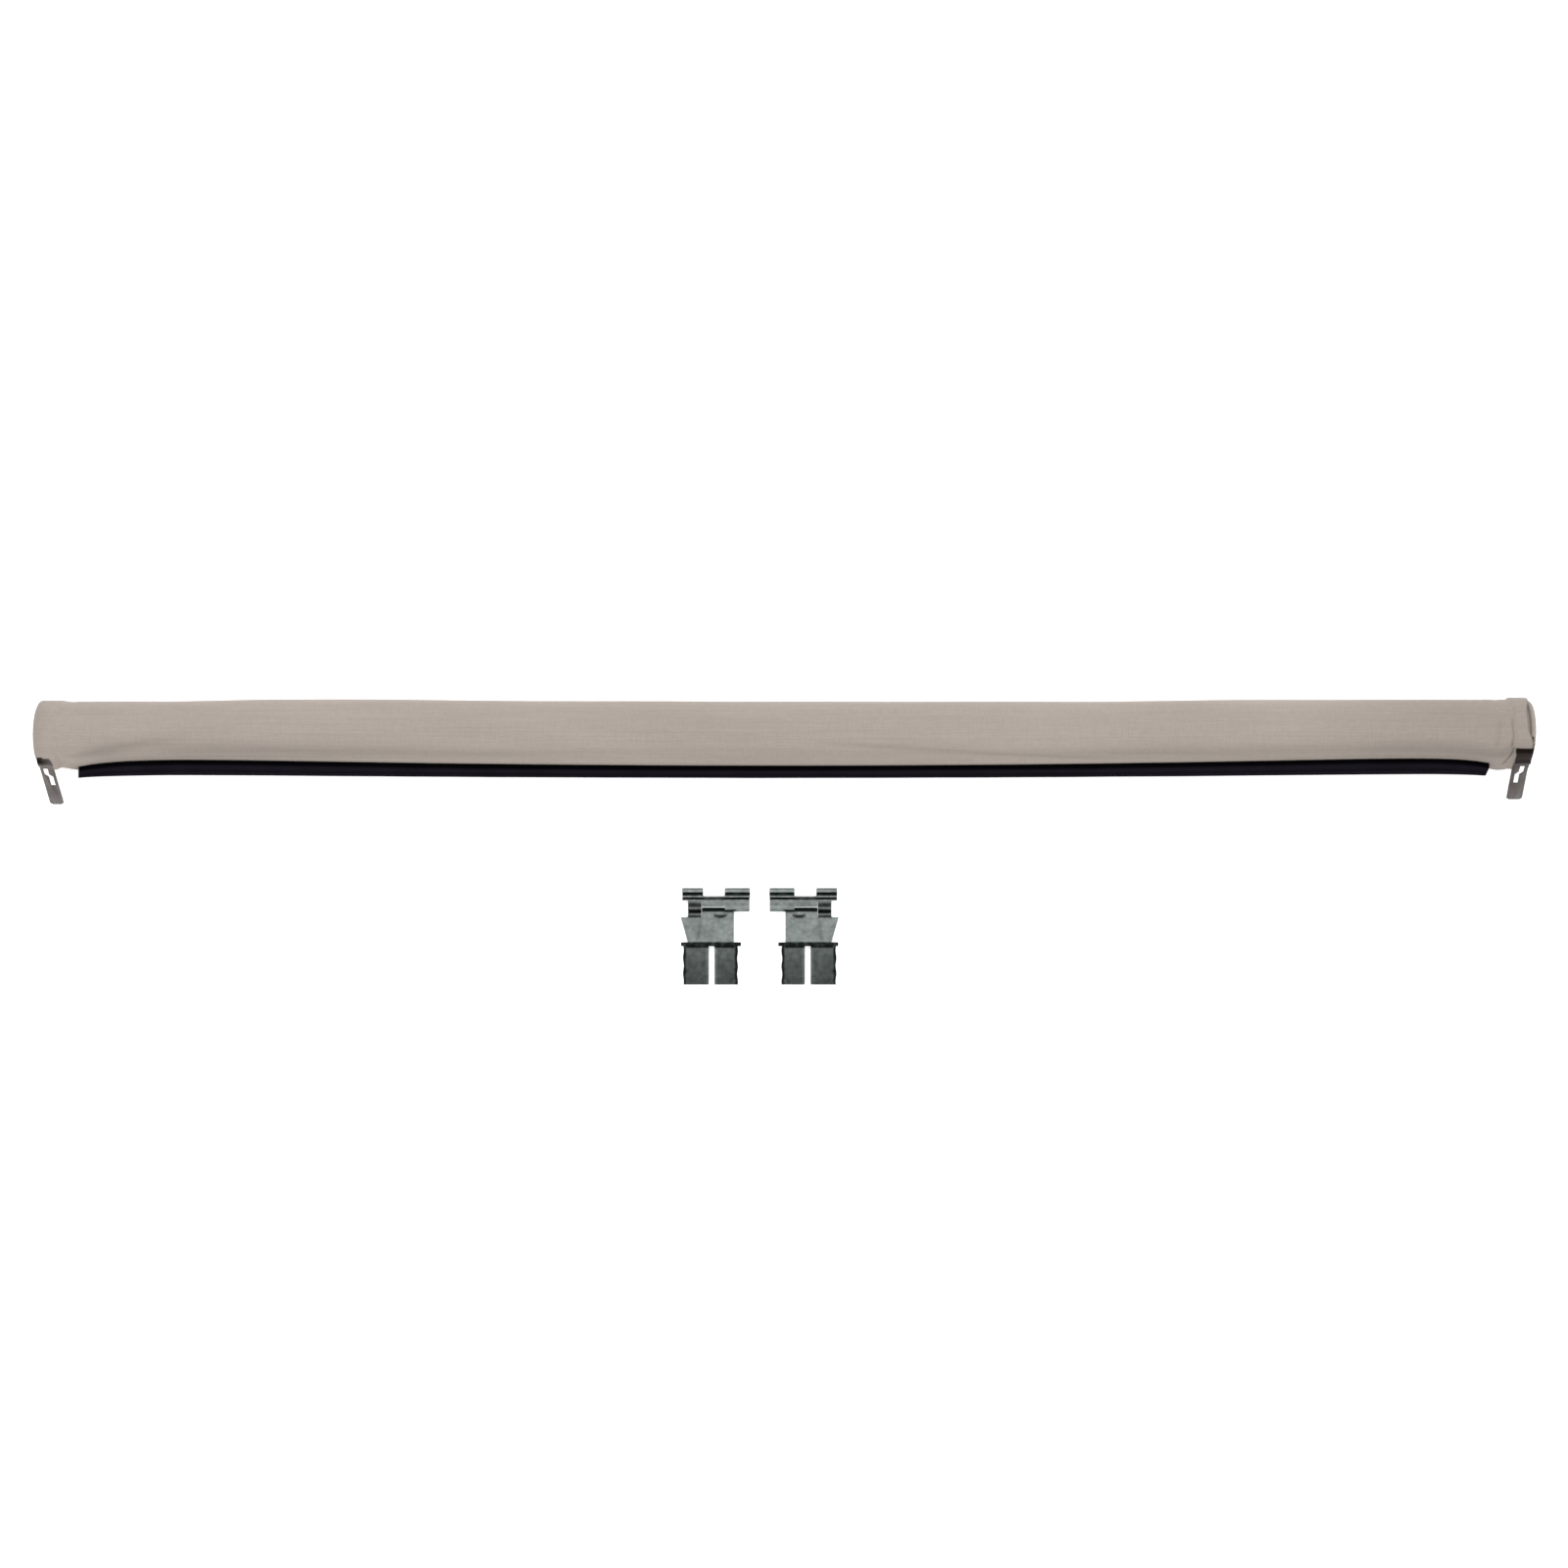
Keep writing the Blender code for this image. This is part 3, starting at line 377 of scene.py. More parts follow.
half_columns = [0, 60, 120, 180, 240, 300, 350, 395, 425, 445, 452, 456, 459, 461, 462, 463, 464, 465, 467,
                469, 470.4, 471.2, 471.8, 472.4, 473.0, 473.6, 474.0, 474.3, 474.5]
wound_columns = [-x * MM for x in reversed(half_columns)] + [x * MM for x in half_columns[1:]]
STEPS_PER_TURN = 40
wound_outer, wound_inner, wound_shade = [], [], []
for step in range(WOUND_TURNS * STEPS_PER_TURN + 1):
    swing = BOTTOM - 2 * math.pi * step / STEPS_PER_TURN
    turn = step / STEPS_PER_TURN
    outer_row, inner_row = [], []
    wound_shade.append([])
    for x in wound_columns:
        edge = ease(abs(x), 462 * MM, 474.5 * MM)
        shifted = x + edge * 0.4 * MM * math.sin(2.3 * turn + (1 if x > 0 else 4)) * min(1.0, turn)
        swell = 1.1 + 0.8 * gauss(turn, 0.68, 0.12) if x > 0 else -0.4  # most behind the roll, at the right
        shifted += edge * swell * MM * (1 - ease(turn, 1, 3))
        rounding = 0.14 * MM * ease(abs(x), 473.6 * MM, 474.6 * MM)
        tuck = gauss(x, 471.3 * MM, 0.9 * MM)  # the hem is pressed in just outside the outermost turn's edge
        radius = turn_radius(x, swing) - 0.35 * MM * tuck * ease(turn, 0, 0.3)
        if x > 0 and turn < 1:
            radius += 0.8 * loose_back(x, swing + 2 * math.pi) * hem_share(x)
        # Painted shade: a dark line in the pressed-in groove by the outer turn's edge, and a fainter one
        # along the ends of the turns further in.
        wound_shade[-1].append(0.75 * tuck if turn < 1.2 else 0.35 * gauss(abs(x), 474.6 * MM, 0.5 * MM))
        outer_row.append(on_roll(shifted, swing, radius - rounding))
        inner_row.append(on_roll(shifted, swing, radius - CLOTH_THICKNESS + rounding))
    wound_outer.append(outer_row)
    wound_inner.append(inner_row)
wound = closed_layer("wound_turns", wound_outer, wound_inner, shade_cloth, shade_and_soil=wound_shade)
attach(wound, "roller")
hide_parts("wound_cloth", "left_wound_hem", "right_wound_hem")

# ---- Steel tapes wound in the hems ---------------------------------------------------------------
# A thin spring steel tape, 9 to 10 mm wide, runs in each side hem from end to end and is wound with it.
# Its turns lie between the turns of cloth, a little inside the roll's end.

# Its darker colour paints shade on the tabs where they come out of the hems.
tape_steel = grained("tape_steel", (0.135, 0.122, 0.117), (0.085, 0.07, 0.064), (500, 60, 60), 0.012, 0.9,
                     (0.3, 0.48), 0.006 * MM, shade_and_soil=(0.012, 0.008, 0.006), Metallic=1.0)
TAPE_IN_ROLL = 0.14 * MM
for side_name, side in (("left", -1), ("right", 1)):
    tape_low, tape_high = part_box(f"{side_name}_tape_coil")
    tape_outer, tape_inner = [], []
    for step in range(WOUND_TURNS * STEPS_PER_TURN - STEPS_PER_TURN // 2):
        swing = BOTTOM - 2 * math.pi * (step + 2) / STEPS_PER_TURN
        row_outer, row_inner = [], []
        for x in (tape_low.x, (tape_low.x + tape_high.x) / 2, tape_high.x):
            radius = turn_radius(side * 470 * MM, swing) - CLOTH_THICKNESS - 0.04 * MM
            row_outer.append(on_roll(x, swing, radius))
            row_inner.append(on_roll(x, swing, radius - TAPE_IN_ROLL))
        tape_outer.append(row_outer)
        tape_inner.append(row_inner)
    wound_tape = closed_layer(f"{side_name}_wound_tape", tape_outer, tape_inner, tape_steel)
    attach(wound_tape, "roller")
    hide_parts(f"{side_name}_tape_coil")

# ---- Outer turn of cloth and its free edge -------------------------------------------------------
# The last part of the same cloth comes up from the bottom round the back, lies over the top and
# leaves the roll towards the rubber strip. It is the part that draws out when the blind is pulled.

STRIP_WIDTH = 13 * MM
STRIP_SEAT = 20.5 * MM  # from the roll's axis to the strip's underside
STRIP_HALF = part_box("rubber_edge_strip")[1].x
END_DROOP = {-1: (6.9 * MM, 2.0 * MM), 1: (5.0 * MM, 1.2 * MM)}  # of the strip's upper and lower edges
RIGHT_EDGE = 470.6 * MM  # the outermost turn stops short of the ones under it
RIGHT_MOUTH_SWING = math.radians(28)
MOUTH_X = {-1: 466.4 * MM, 1: 465.6 * MM}
HEM_RUN = 10 * MM  # how far the hem goes on below the roll


def strip_place(x):
    """The strip at x: its lean, and how far down the slope its upper edge is."""
    share = min(1.0, abs(x) / STRIP_HALF)
    end = math.exp((share - 1) / (0.075 if x < 0 else 0.06))
    droop_up, droop_low = END_DROOP[1 if x > 0 else -1]
    upper = 50.2 * MM + (6.7 if x > 0 else 6.3) * MM * share ** 2 - droop_up * end
    lower = 43.7 * MM + (2.6 if x > 0 else 2.2) * MM * share ** 2 - droop_low * end
    lean = math.acos(min(0.85, max(0.3, (upper - lower) / STRIP_WIDTH)))
    run = (AXIS_Y - STRIP_SEAT * math.sin(lean) - upper) / math.cos(lean)
    return lean, run


def free_edge(x):
    """How the cloth leaves the roll at x: its lean, and how far it runs down the slope."""
    lean, run = strip_place(x)
    side = ease(abs(x), STRIP_HALF, 463 * MM)
    sag = 3.2 * MM * gauss(x, 456.5 * MM, 7 * MM)
    return lean + (LEAVE - lean) * side, run + 5 * MM + (HEM_RUN - run - 5 * MM) * side + sag


def on_slope(x, run, height, lean):
    return Vector((x, AXIS_Y - height * math.sin(lean) - run * math.cos(lean),
                   AXIS_Z + height * math.cos(lean) - run * math.sin(lean)))


def creases(mm_x, mm_s):
    """The sharp folds, from 0 to 1: across the hem's corner, along the hem, and two faint long ones."""
    corner = gauss(mm_x - 463.6 + (7.5 - mm_s) / 3, 0, 0.75) * ease(mm_s, -8, -5) * (1 - ease(mm_s, 6.5, 9))
    along_hem = 0.55 * gauss(mm_x, 461.4 + 0.25 * math.sin(mm_s / 2), 0.7)
    along_hem *= ease(mm_s, 6, 10) * (1 - ease(mm_s, 22, 30))
    middle = 0.3 * gauss(mm_s, 15 - (mm_x - 19) * 0.08, 1.6)
    middle *= ease(mm_x, 5, 60) * (1 - ease(mm_x, 170, 230))
    left = 0.3 * gauss(mm_s, 6 + (mm_x + 440) * 0.12, 3.0)
    left *= ease(mm_x, -460, -440) * (1 - ease(mm_x, -405, -360))
    return corner + along_hem + middle + left


def wrinkle(x, s):
    """How far the outer turn stands off the turns below. s is how far back over the roll from where the
    cloth leaves it."""
    mm_x, mm_s = x / MM, s / MM
    long_wave = 0.34 * noise.noise(Vector((mm_x / 95, mm_s / 34, 1.7)))
    tension = 0.14 * noise.noise(Vector((mm_x / 60, mm_s / 5.0, 8.3)))
    slack = 0.05 * noise.noise(Vector((mm_x / 9, mm_s / 3.5, 3.1)))
    near_right = ease(mm_x, 438, 450) * (1 - ease(mm_x, 460, 464))
    pucker = 0.42 * near_right * noise.noise(Vector(((mm_x + 0.3 * mm_s) / 5.5, mm_s / 22, 5)))
    near_left = (1 - ease(mm_x, -458, -436)) * ease(mm_x, -470, -462)
    pucker += 0.35 * near_left * noise.noise(Vector((mm_x / 7, mm_s / 16, 6)))
    hollow = -0.45 * gauss(mm_x, -425, 24) * gauss(mm_s, 7, 6)
    band_low = 0.35 * gauss(mm_s, -3.4, 1.6) * (1 - ease(abs(mm_x), 300, 430))
    lift = 0.75 * ease(mm_x, 461.8, 465) * ease(mm_s, 8, 30)  # the right hem stands up behind
    rise = 0.3 + long_wave + tension + slack + pucker + hollow + band_low + lift
    rise -= 0.55 * creases(mm_x, mm_s)
    return 0.5 * (rise + math.hypot(rise, 0.12)) * MM  # it never dips under the turns below


def edge_shade_and_tone(x, s):
    """How dark the outer turn is painted: painted shade in its creases, over the hollow on the left, towards
    its free edge, along its right edge, by the right hem and in the hems' mouths; and a darker tone towards
    both ends.
    """
    mm_x, mm_s = x / MM, s / MM
    # painted shade in the creases and over the shallow hollow on the left
    shade_and_soil = 0.42 * creases(mm_x, mm_s)
    shade_and_soil += 0.2 * gauss(mm_x, -430, 26) * gauss(mm_s, 5, 7)
    # painted shade towards the free edge near the ends, and just above the strip
    shade_and_soil += 0.12 * (1 - ease(mm_s, -7, 2)) * ease(abs(mm_x), 250, 440)
    above_strip = 0.09 + 0.16 * ease(abs(mm_x), 90, 220)
    shade_and_soil += above_strip * gauss(mm_s, 4.5, 5.5) * (1 - ease(-mm_x, 380, 420))
    # darker towards the right end and at the left end
    shade_and_soil += 0.13 * ease(mm_x, 330, 450) + 0.13 * gauss(mm_x, -476, 7)
    # a faint darker line beside the right hem
    by_hem = 0.1 * gauss(mm_x, 452.6 + 0.12 * (mm_s - 18), 1.3)
    shade_and_soil += by_hem * ease(mm_s, 8, 13) * (1 - ease(mm_s, 24, 32))
    # painted shade along the outer turn's right edge and in the crease by the right hem
    shade_and_soil += 0.35 * gauss(mm_x, 470.7, 0.6)
    shade_and_soil += 0.12 * gauss(mm_x, 461.6, 1.0) * gauss(mm_s, 9.5, 3.0)
    # painted shade in the hems' mouths, where the tape comes out
    mouth = ease(mm_x, 464.6, 466) * (1 - ease(mm_s, 7.0, 8.6))
    mouth += ease(-mm_x, 465, 468) * (1 - ease(mm_s, -1.0, 2.0))
    return min(0.9, max(0.0, shade_and_soil + 0.5 * mouth))


def hem_bulge(x, swing):
    """The hem stands further out in front, over the tape that comes out of it."""
    across = ease(x, 464 * MM, 468 * MM) if x > 0 else ease(-x, 461.5 * MM, 464.5 * MM)
    return 1.5 * MM * across * ease(swing, math.radians(-5), math.radians(45))


def edge_shift(x, swing):
    """The ends' small shifts along the roll. The right edge lies further in over the top than behind it
    and at the mouth."""
    if x < 0:
        return -0.4 * MM * ease(-x, 460 * MM, 470 * MM)
    behind = 4.2 * (1 - ease(swing, math.radians(-80), math.radians(-30)))
    out = behind + 3.6 * ease(swing, math.radians(-10), math.radians(24))
    drawn_in = gauss(x, 465.6 * MM, 2.6 * MM) * ease(swing, math.radians(14), RIGHT_MOUTH_SWING)
    drawn_in *= 1 - ease(swing, RIGHT_MOUTH_SWING + 0.05, LEAVE)
    return (out * ease(x, 465 * MM, RIGHT_EDGE) - 2.1 * drawn_in) * MM


EDGE_COLUMNS = (452, 453.4, 454.8, 456, 457, 458, 458.8, 459.6, 460.3, 460.9, 461.4, 461.9, 462.4, 462.9,
                463.4, 464.0, 464.7)  # mm from the middle, as are the next two
LEFT_END_COLUMNS = (474.6, 474.4, 473.9, 473.0, 471.8, 470.4, 469.0, 467.6)
RIGHT_END_COLUMNS = (466.4, 467.2, 468.1, 469.0, 469.7, 470.2, 470.5)
left_columns = [-x * MM for x in LEFT_END_COLUMNS] + [-MOUTH_X[-1]]
left_columns += [-x * MM for x in reversed(EDGE_COLUMNS)]
right_columns = [x * MM for x in EDGE_COLUMNS] + [MOUTH_X[1]]
right_columns += [x * MM for x in RIGHT_END_COLUMNS] + [RIGHT_EDGE]
MIDDLE_COLUMNS = 330
MIDDLE_HALF = EDGE_COLUMNS[0] * MM
middle_columns = [
    -MIDDLE_HALF + 2 * MIDDLE_HALF * (i + 1) / (MIDDLE_COLUMNS + 1) for i in range(MIDDLE_COLUMNS)
]
sheet_columns = left_columns + middle_columns + right_columns
BACK_ROWS, FRONT_ROWS, SLOPE_ROWS = 78, 14, 16
sheet_outer, sheet_inner, sheet_shade_and_tone = [], [], []
for row in range(BACK_ROWS + FRONT_ROWS + SLOPE_ROWS + 1):
    outer_row, inner_row = [], []
    sheet_shade_and_tone.append([])
    for x in sheet_columns:
        lean, run_end = free_edge(x)
        edge = min(abs(x - sheet_columns[0]), abs(x - sheet_columns[-1]))
        rounding = 0.16 * MM * (1 - ease(edge, 0, 0.8 * MM))
        hem = hem_share(x)
        thickness = CLOTH_THICKNESS * (1 + 0.15 * hem)
        if row <= BACK_ROWS + FRONT_ROWS:
            if row <= BACK_ROWS:
                swing = BOTTOM + (RIGHT_MOUTH_SWING - BOTTOM) * row / BACK_ROWS
            else:
                swing = RIGHT_MOUTH_SWING + (lean - RIGHT_MOUTH_SWING) * (row - BACK_ROWS) / FRONT_ROWS
            s = (lean - swing) * MAIN_RADIUS
            radius = turn_radius(x, swing) + hem_bulge(x, swing)
            radius += wrinkle(x, s) * ease(swing, BOTTOM, BOTTOM + 0.9) + loose_back(x, swing)
            sheet_shade_and_tone[-1].append(edge_shade_and_tone(x, s))
            outwards = edge_shift(x, swing)
            outer_row.append(on_roll(x + outwards, swing, radius - rounding))
            inner_row.append(on_roll(x + outwards, swing, radius - thickness + rounding))
        else:
            run = run_end * (row - BACK_ROWS - FRONT_ROWS) / SLOPE_ROWS
            radius = turn_radius(x, lean) + hem_bulge(x, lean)
            seat = STRIP_SEAT - 0.3 * MM  # the cloth's outer face, under the strip
            settle = ease(run, 0, run_end - 5 * MM) * (1 - ease(abs(x), STRIP_HALF, 463 * MM))
            crease = -0.4 * MM * gauss(run, 1.2 * MM, 1.1 * MM) * (1 - ease(abs(x), 430 * MM, 452 * MM))
            height = radius + (wrinkle(x, -run) + crease) * (1 - settle) + (seat - radius) * settle
            sheet_shade_and_tone[-1].append(edge_shade_and_tone(x, -run))
            outer_row.append(on_slope(x, run, height - rounding, lean))
            inner_row.append(on_slope(x, run, height - thickness + rounding, lean))
    sheet_outer.append(outer_row)
    sheet_inner.append(inner_row)


def sheet_present(i, j):
    """Leaves out the squares where the hem is open and the tape comes out of it."""
    x = (sheet_columns[j] + sheet_columns[j + 1]) / 2
    if x > MOUTH_X[1]:
        return i < BACK_ROWS
    left_end = BACK_ROWS + FRONT_ROWS - (3 if x < -470 * MM else 1)
    return x > -MOUTH_X[-1] or i < left_end


outer_turn = closed_layer("outer_turn", sheet_outer, sheet_inner, shade_cloth, sheet_present, sheet_shade_and_tone)
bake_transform(outer_turn)
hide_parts("cloth_flap")

# ---- Hem ends ------------------------------------------------------------------------------------
# Below each tape the hem's back layer goes on to the cloth's cut edge, so the tape comes out of a
# flat pocket: the outer layer ends first, and the back one lies under the tape.

HEM_BACK_THICKNESS = 0.35 * MM
HEM_START = math.radians(8)  # from the top of the roll, well inside the mouth
HEM_COLUMNS = (463.5, 464.6, 466, 467.5, 469, 470.5, 472, 473.2, 474.0, 474.4, 474.6)  # mm from the middle
HEM_ROLL_ROWS, HEM_SLOPE_ROWS = 14, 10
HEM_SHADE_FADE_ROW = {-1: 17, 1: 13}  # from here down the painted shade of the pocket fades to a little
for side_name, side in (("left", -1), ("right", 1)):
    hem_columns = [side * x * MM for x in HEM_COLUMNS]
    back_outer, back_inner, back_shade = [], [], []
    for row in range(HEM_ROLL_ROWS + HEM_SLOPE_ROWS + 1):
        swing = HEM_START + (LEAVE - HEM_START) * min(1.0, row / HEM_ROLL_ROWS)
        outer_row, inner_row = [], []
        for x in hem_columns:
            sag = 0.05 * MM * math.sin(x / MM * 1.3 + row * 0.4)
            rounding = 0.1 * MM * ease(abs(x), 473.8 * MM, 474.6 * MM)
            radius = turn_radius(x, LEAVE - 2 * math.pi) + 0.55 * hem_bulge(x, swing) - 0.05 * MM + sag
            under = radius - HEM_BACK_THICKNESS + rounding
            if row <= HEM_ROLL_ROWS:
                outer_row.append(on_roll(x, swing, radius - rounding))
                inner_row.append(on_roll(x, swing, under))
            else:
                length = HEM_RUN - 1.2 * MM - 0.25 * (abs(x) - 463 * MM)
                run = length * (row - HEM_ROLL_ROWS) / HEM_SLOPE_ROWS
                outer_row.append(on_slope(x, run, radius - rounding, LEAVE))
                inner_row.append(on_slope(x, run, under, LEAVE))
        back_outer.append(outer_row)
        back_inner.append(inner_row)
        # Painted shade: dark inside the pocket, fading to a little further down.
        pocket_shade = 0.92 - 0.75 * ease(row, HEM_SHADE_FADE_ROW[side], HEM_SHADE_FADE_ROW[side] + 6)
        back_shade.append([pocket_shade] * len(hem_columns))
    hem_back = closed_layer(f"{side_name}_hem_back", back_outer, back_inner, shade_cloth, shade_and_soil=back_shade)
    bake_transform(hem_back)
    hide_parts(f"{side_name}_hem_end")

# ---- Tape tabs -----------------------------------------------------------------------------------
# The steel tapes come out of the hems, step up over the hem's end and end in a tab with a dog-leg
# slot and clipped corners, which hooks on the slider in the guide rail.

TAB_HEIGHT = 21.7 * MM  # from the roll's axis to the tab's underside
CUT_RUNS = {-1: 8.2, 1: 6.4}  # mm down the slope, where each tab joins the tape drawn up from it
TAPE_RUNS = (7.4, 6.6, 5.8, 5.0, 4.2, 3.4, 2.6, 1.8, 1.0, 0.2)  # mm down the slope
slope_down = Vector((0, -math.cos(LEAVE), -math.sin(LEAVE)))
for side_name, side in (("left", -1), ("right", 1)):
    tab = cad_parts[f"{side_name}_tape_tab"].copy()
    tab.data = tab.data.copy()
    tab.name = f"{side_name}_tab"
    for tag in list(tab.keys()):
        if tag.startswith("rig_"):
            del tab[tag]
    tab.parent = None
    scene.collection.objects.link(tab)
    pick(tab)
    bpy.ops.object.mode_set(mode="EDIT")
    bpy.ops.mesh.select_all(action="SELECT")
    bpy.ops.mesh.remove_doubles(threshold=0.001 * MM)
    bpy.ops.mesh.dissolve_limited(angle_limit=math.radians(1))
    bpy.ops.mesh.select_all(action="SELECT")
    cut_place = on_slope(0, CUT_RUNS[side] * MM, TAB_HEIGHT, LEAVE)
    bpy.ops.mesh.bisect(plane_co=cut_place, plane_no=slope_down, clear_inner=True, use_fill=True)
    bpy.ops.mesh.select_all(action="DESELECT")
    bpy.ops.object.mode_set(mode="OBJECT")
    at_cut = [f for f in tab.data.polygons if abs((f.center - cut_place).dot(slope_down)) < 0.01 * MM]
    for face in at_cut:
        face.select = True
    stations = []  # the tape's underside, from the cut back up the slope and round the roll
    for run in [run for run in TAPE_RUNS if run < CUT_RUNS[side]]:
        knuckle = 0.95 * MM * (ease(run, 0.6, 2.6) - ease(run, CUT_RUNS[side] - 2.8, CUT_RUNS[side] - 0.6))
        stations.append((on_slope(0, run * MM, TAB_HEIGHT + knuckle, LEAVE), LEAVE))
    under_cloth = math.radians(10 if side < 0 else 20)
    for step in range(1, 13):
        swing = LEAVE - (LEAVE - under_cloth) * step / 12
        drop = 1.05 * MM * ease(step, 0, 12)
        stations.append((on_roll(0, swing, TAB_HEIGHT - drop), swing))
    last_place, last_swing = cut_place, LEAVE
    bpy.ops.object.mode_set(mode="EDIT")
    for place_now, swing in stations:
        bpy.ops.mesh.extrude_region_move(TRANSFORM_OT_translate={"value": place_now - last_place})
        if abs(swing - last_swing) > 1e-6:
            bpy.ops.transform.rotate(value=swing - last_swing, orient_axis="X", center_override=place_now)
        last_place, last_swing = place_now, swing
    bpy.ops.mesh.select_all(action="SELECT")
    bpy.ops.mesh.normals_make_consistent(inside=False)
    bpy.ops.object.mode_set(mode="OBJECT")
    marks = tab.data.attributes.new("shade_and_soil", "FLOAT", "POINT")
    for vertex, mark in zip(tab.data.vertices, marks.data):
        down = (vertex.co - on_slope(vertex.co.x, 0, TAB_HEIGHT, LEAVE)).dot(slope_down) / MM
        across = abs(vertex.co.x) / MM - 470.9
        blotch = 0.3 * noise.noise(vertex.co / (1.6 * MM))
        if side < 0:  # painted shade, darkest at the outer side of the mouth, over random blotches
            mark.value = (0.15 + blotch + 0.85 * ease(across, 0.0, 1.6)) * (1 - ease(down, 3.0, 7.0))
        else:
            # painted shade, darkest where the tape leaves the hem and lighter down the tab
            mark.value = 1.0 - 0.24 * ease(down, -5.5, -3.5) - 0.58 * ease(down, 4.5, 9.0)
    worn_edge = tab.modifiers.new("worn_edge", "BEVEL")
    worn_edge.width, worn_edge.segments, worn_edge.angle_limit = 0.09 * MM, 2, math.radians(50)
    bpy.ops.object.modifier_apply(modifier=worn_edge.name)
    bpy.ops.object.shade_smooth_by_angle(angle=math.radians(35))
    tab.data.materials.clear()
    tab.data.materials.append(tape_steel)
    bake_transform(tab)
    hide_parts(f"{side_name}_tape_tab")

# ---- Rubber strip --------------------------------------------------------------------------------
# A soft black rubber profile, half round, welded along the cloth's free edge. It closes the blind
# against the roof frame, and rests on the roll in a slow bow.

STRIP_HEIGHT = 3.2 * MM
# Its main colours are the lighter bluish tone of a painted sheen; the darker one paints shade at its edges.
strip_rubber = grained("strip_rubber", (0.0075, 0.0062, 0.0088), (0.0105, 0.0092, 0.0135), (25, 1400, 1400),
                       0.02, 1.0, (0.4, 0.55), 0.03 * MM, shade_and_soil=(0.0004, 0.0003, 0.0004),
                       Specular_IOR_Level=0.0)
bpy.ops.object.select_all(action="DESELECT")
bpy.ops.mesh.primitive_cylinder_add(vertices=40, radius=STRIP_WIDTH / 2, depth=2 * STRIP_HALF,
                                    end_fill_type="NGON", rotation=(0, math.pi / 2, 0))
strip = bpy.context.object
strip.name = "edge_strip"
bpy.ops.object.transform_apply(location=True, rotation=True, scale=True)
for thing in (strip.data.vertices, strip.data.polygons):
    for one in thing:
        one.select = False
for edge in strip.data.edges:
    ends = [strip.data.vertices[v].co.x for v in edge.vertices]
    edge.select = abs(ends[0] - ends[1]) > STRIP_HALF
bpy.ops.object.mode_set(mode="EDIT")
bpy.ops.mesh.select_mode(type="EDGE")
bpy.ops.mesh.subdivide(number_cuts=260)
bpy.ops.mesh.select_mode(type="FACE")
bpy.ops.object.mode_set(mode="OBJECT")
marks = strip.data.attributes.new("shade_and_soil", "FLOAT", "POINT")
for vertex, mark in zip(strip.data.vertices, marks.data):
    x, y, z = vertex.co
    across = y / (STRIP_WIDTH / 2)  # -1 at the lower edge and 1 at the upper
    lift = z / (STRIP_WIDTH / 2)
    if lift >= 0:
        rise = STRIP_HEIGHT * lift ** 0.75 * (1 - 0.18 * gauss(across, 0.1, 0.28))
    else:
        rise = 0.1 * MM * lift
    # Painted highlight and shade: darkened along the upper and lower edges and in a thin line near the
    # middle, so lighter bands show between them.
    mark.value = 0.9 * ease(across, 0.5, 0.9) + 0.4 * gauss(across, -0.1, 0.14)
    mark.value += 0.7 * ease(-across, 0.7, 0.95)
    lean, run = strip_place(x)
    slant = 2.0 * MM * ease(x, STRIP_HALF - 30 * MM, STRIP_HALF)
    slant += (1.4 - 1.8 * across) * MM * ease(-x, STRIP_HALF - 30 * MM, STRIP_HALF)
    uneven = 0.12 * MM * noise.noise(Vector((x / (40 * MM), 2.0, across)))
    vertex.co = on_slope(x - slant, run + STRIP_WIDTH * (0.5 - across / 2), STRIP_SEAT + rise + uneven, lean)
bpy.ops.object.mode_set(mode="EDIT")
bpy.ops.mesh.select_all(action="SELECT")
bpy.ops.mesh.normals_make_consistent(inside=False)
bpy.ops.object.mode_set(mode="OBJECT")
soft_edge = strip.modifiers.new("soft_edge", "BEVEL")
soft_edge.width, soft_edge.segments, soft_edge.angle_limit = 0.3 * MM, 2, math.radians(50)
bpy.ops.object.modifier_apply(modifier=soft_edge.name)
bpy.ops.object.shade_smooth_by_angle(angle=math.radians(50))
strip.data.materials.append(strip_rubber)
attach(strip, "leading_edge")
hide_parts("rubber_edge_strip")

# ---- Clips ---------------------------------------------------------------------------------------
# Two mirror-image stampings of 0.8 mm galvanised steel: two legs with turned-down sides, a plate, a
# springy corrugated web, and a rail with two hooks. Painted shade darkens the legs, the folds, the web's
# troughs and the recesses under the flange and the hooks; a brighter copy of the steel paints a
# highlight on the raised lip. The fine mottling is the steel's own.

CLIP_GAUGE = 0.8 * MM
CLIP_STEP = 1.1  # mm between the points of the sheet
LEG_TIP, FOLD_FRONT, FOLD_BACK, EAR_BACK, PLATE_END = -26.5, -2.2, -1.6, 0.9, 17.5  # mm from the fold line
LEFT_LEG, RIGHT_LEG = (-17.9, -1.6), (2.2, 16.9)  # mm from the clip's middle line
EARS, PLATE, PLATE_POINT, WEB = (-19.5, 19.4), (-15.0, 14.7), -19.8, (-15.0, -6.4)
FLANGE, RAIL, LEFT_HOOK, RIGHT_HOOK = (-6.1, 24.9), (-18.7, 25.1), (-18.7, -5.4), (8.9, 25.1)
LEG_SIDE = 1.9  # how far a leg's turned-down side leans out
CLIP_FOOT = 3.0  # how far the clip's own level is above the table, at the legs' tips
CLIP_LEAN = math.atan2(5.2 - 0.4 + CLIP_FOOT, 26.5 + 24.5)
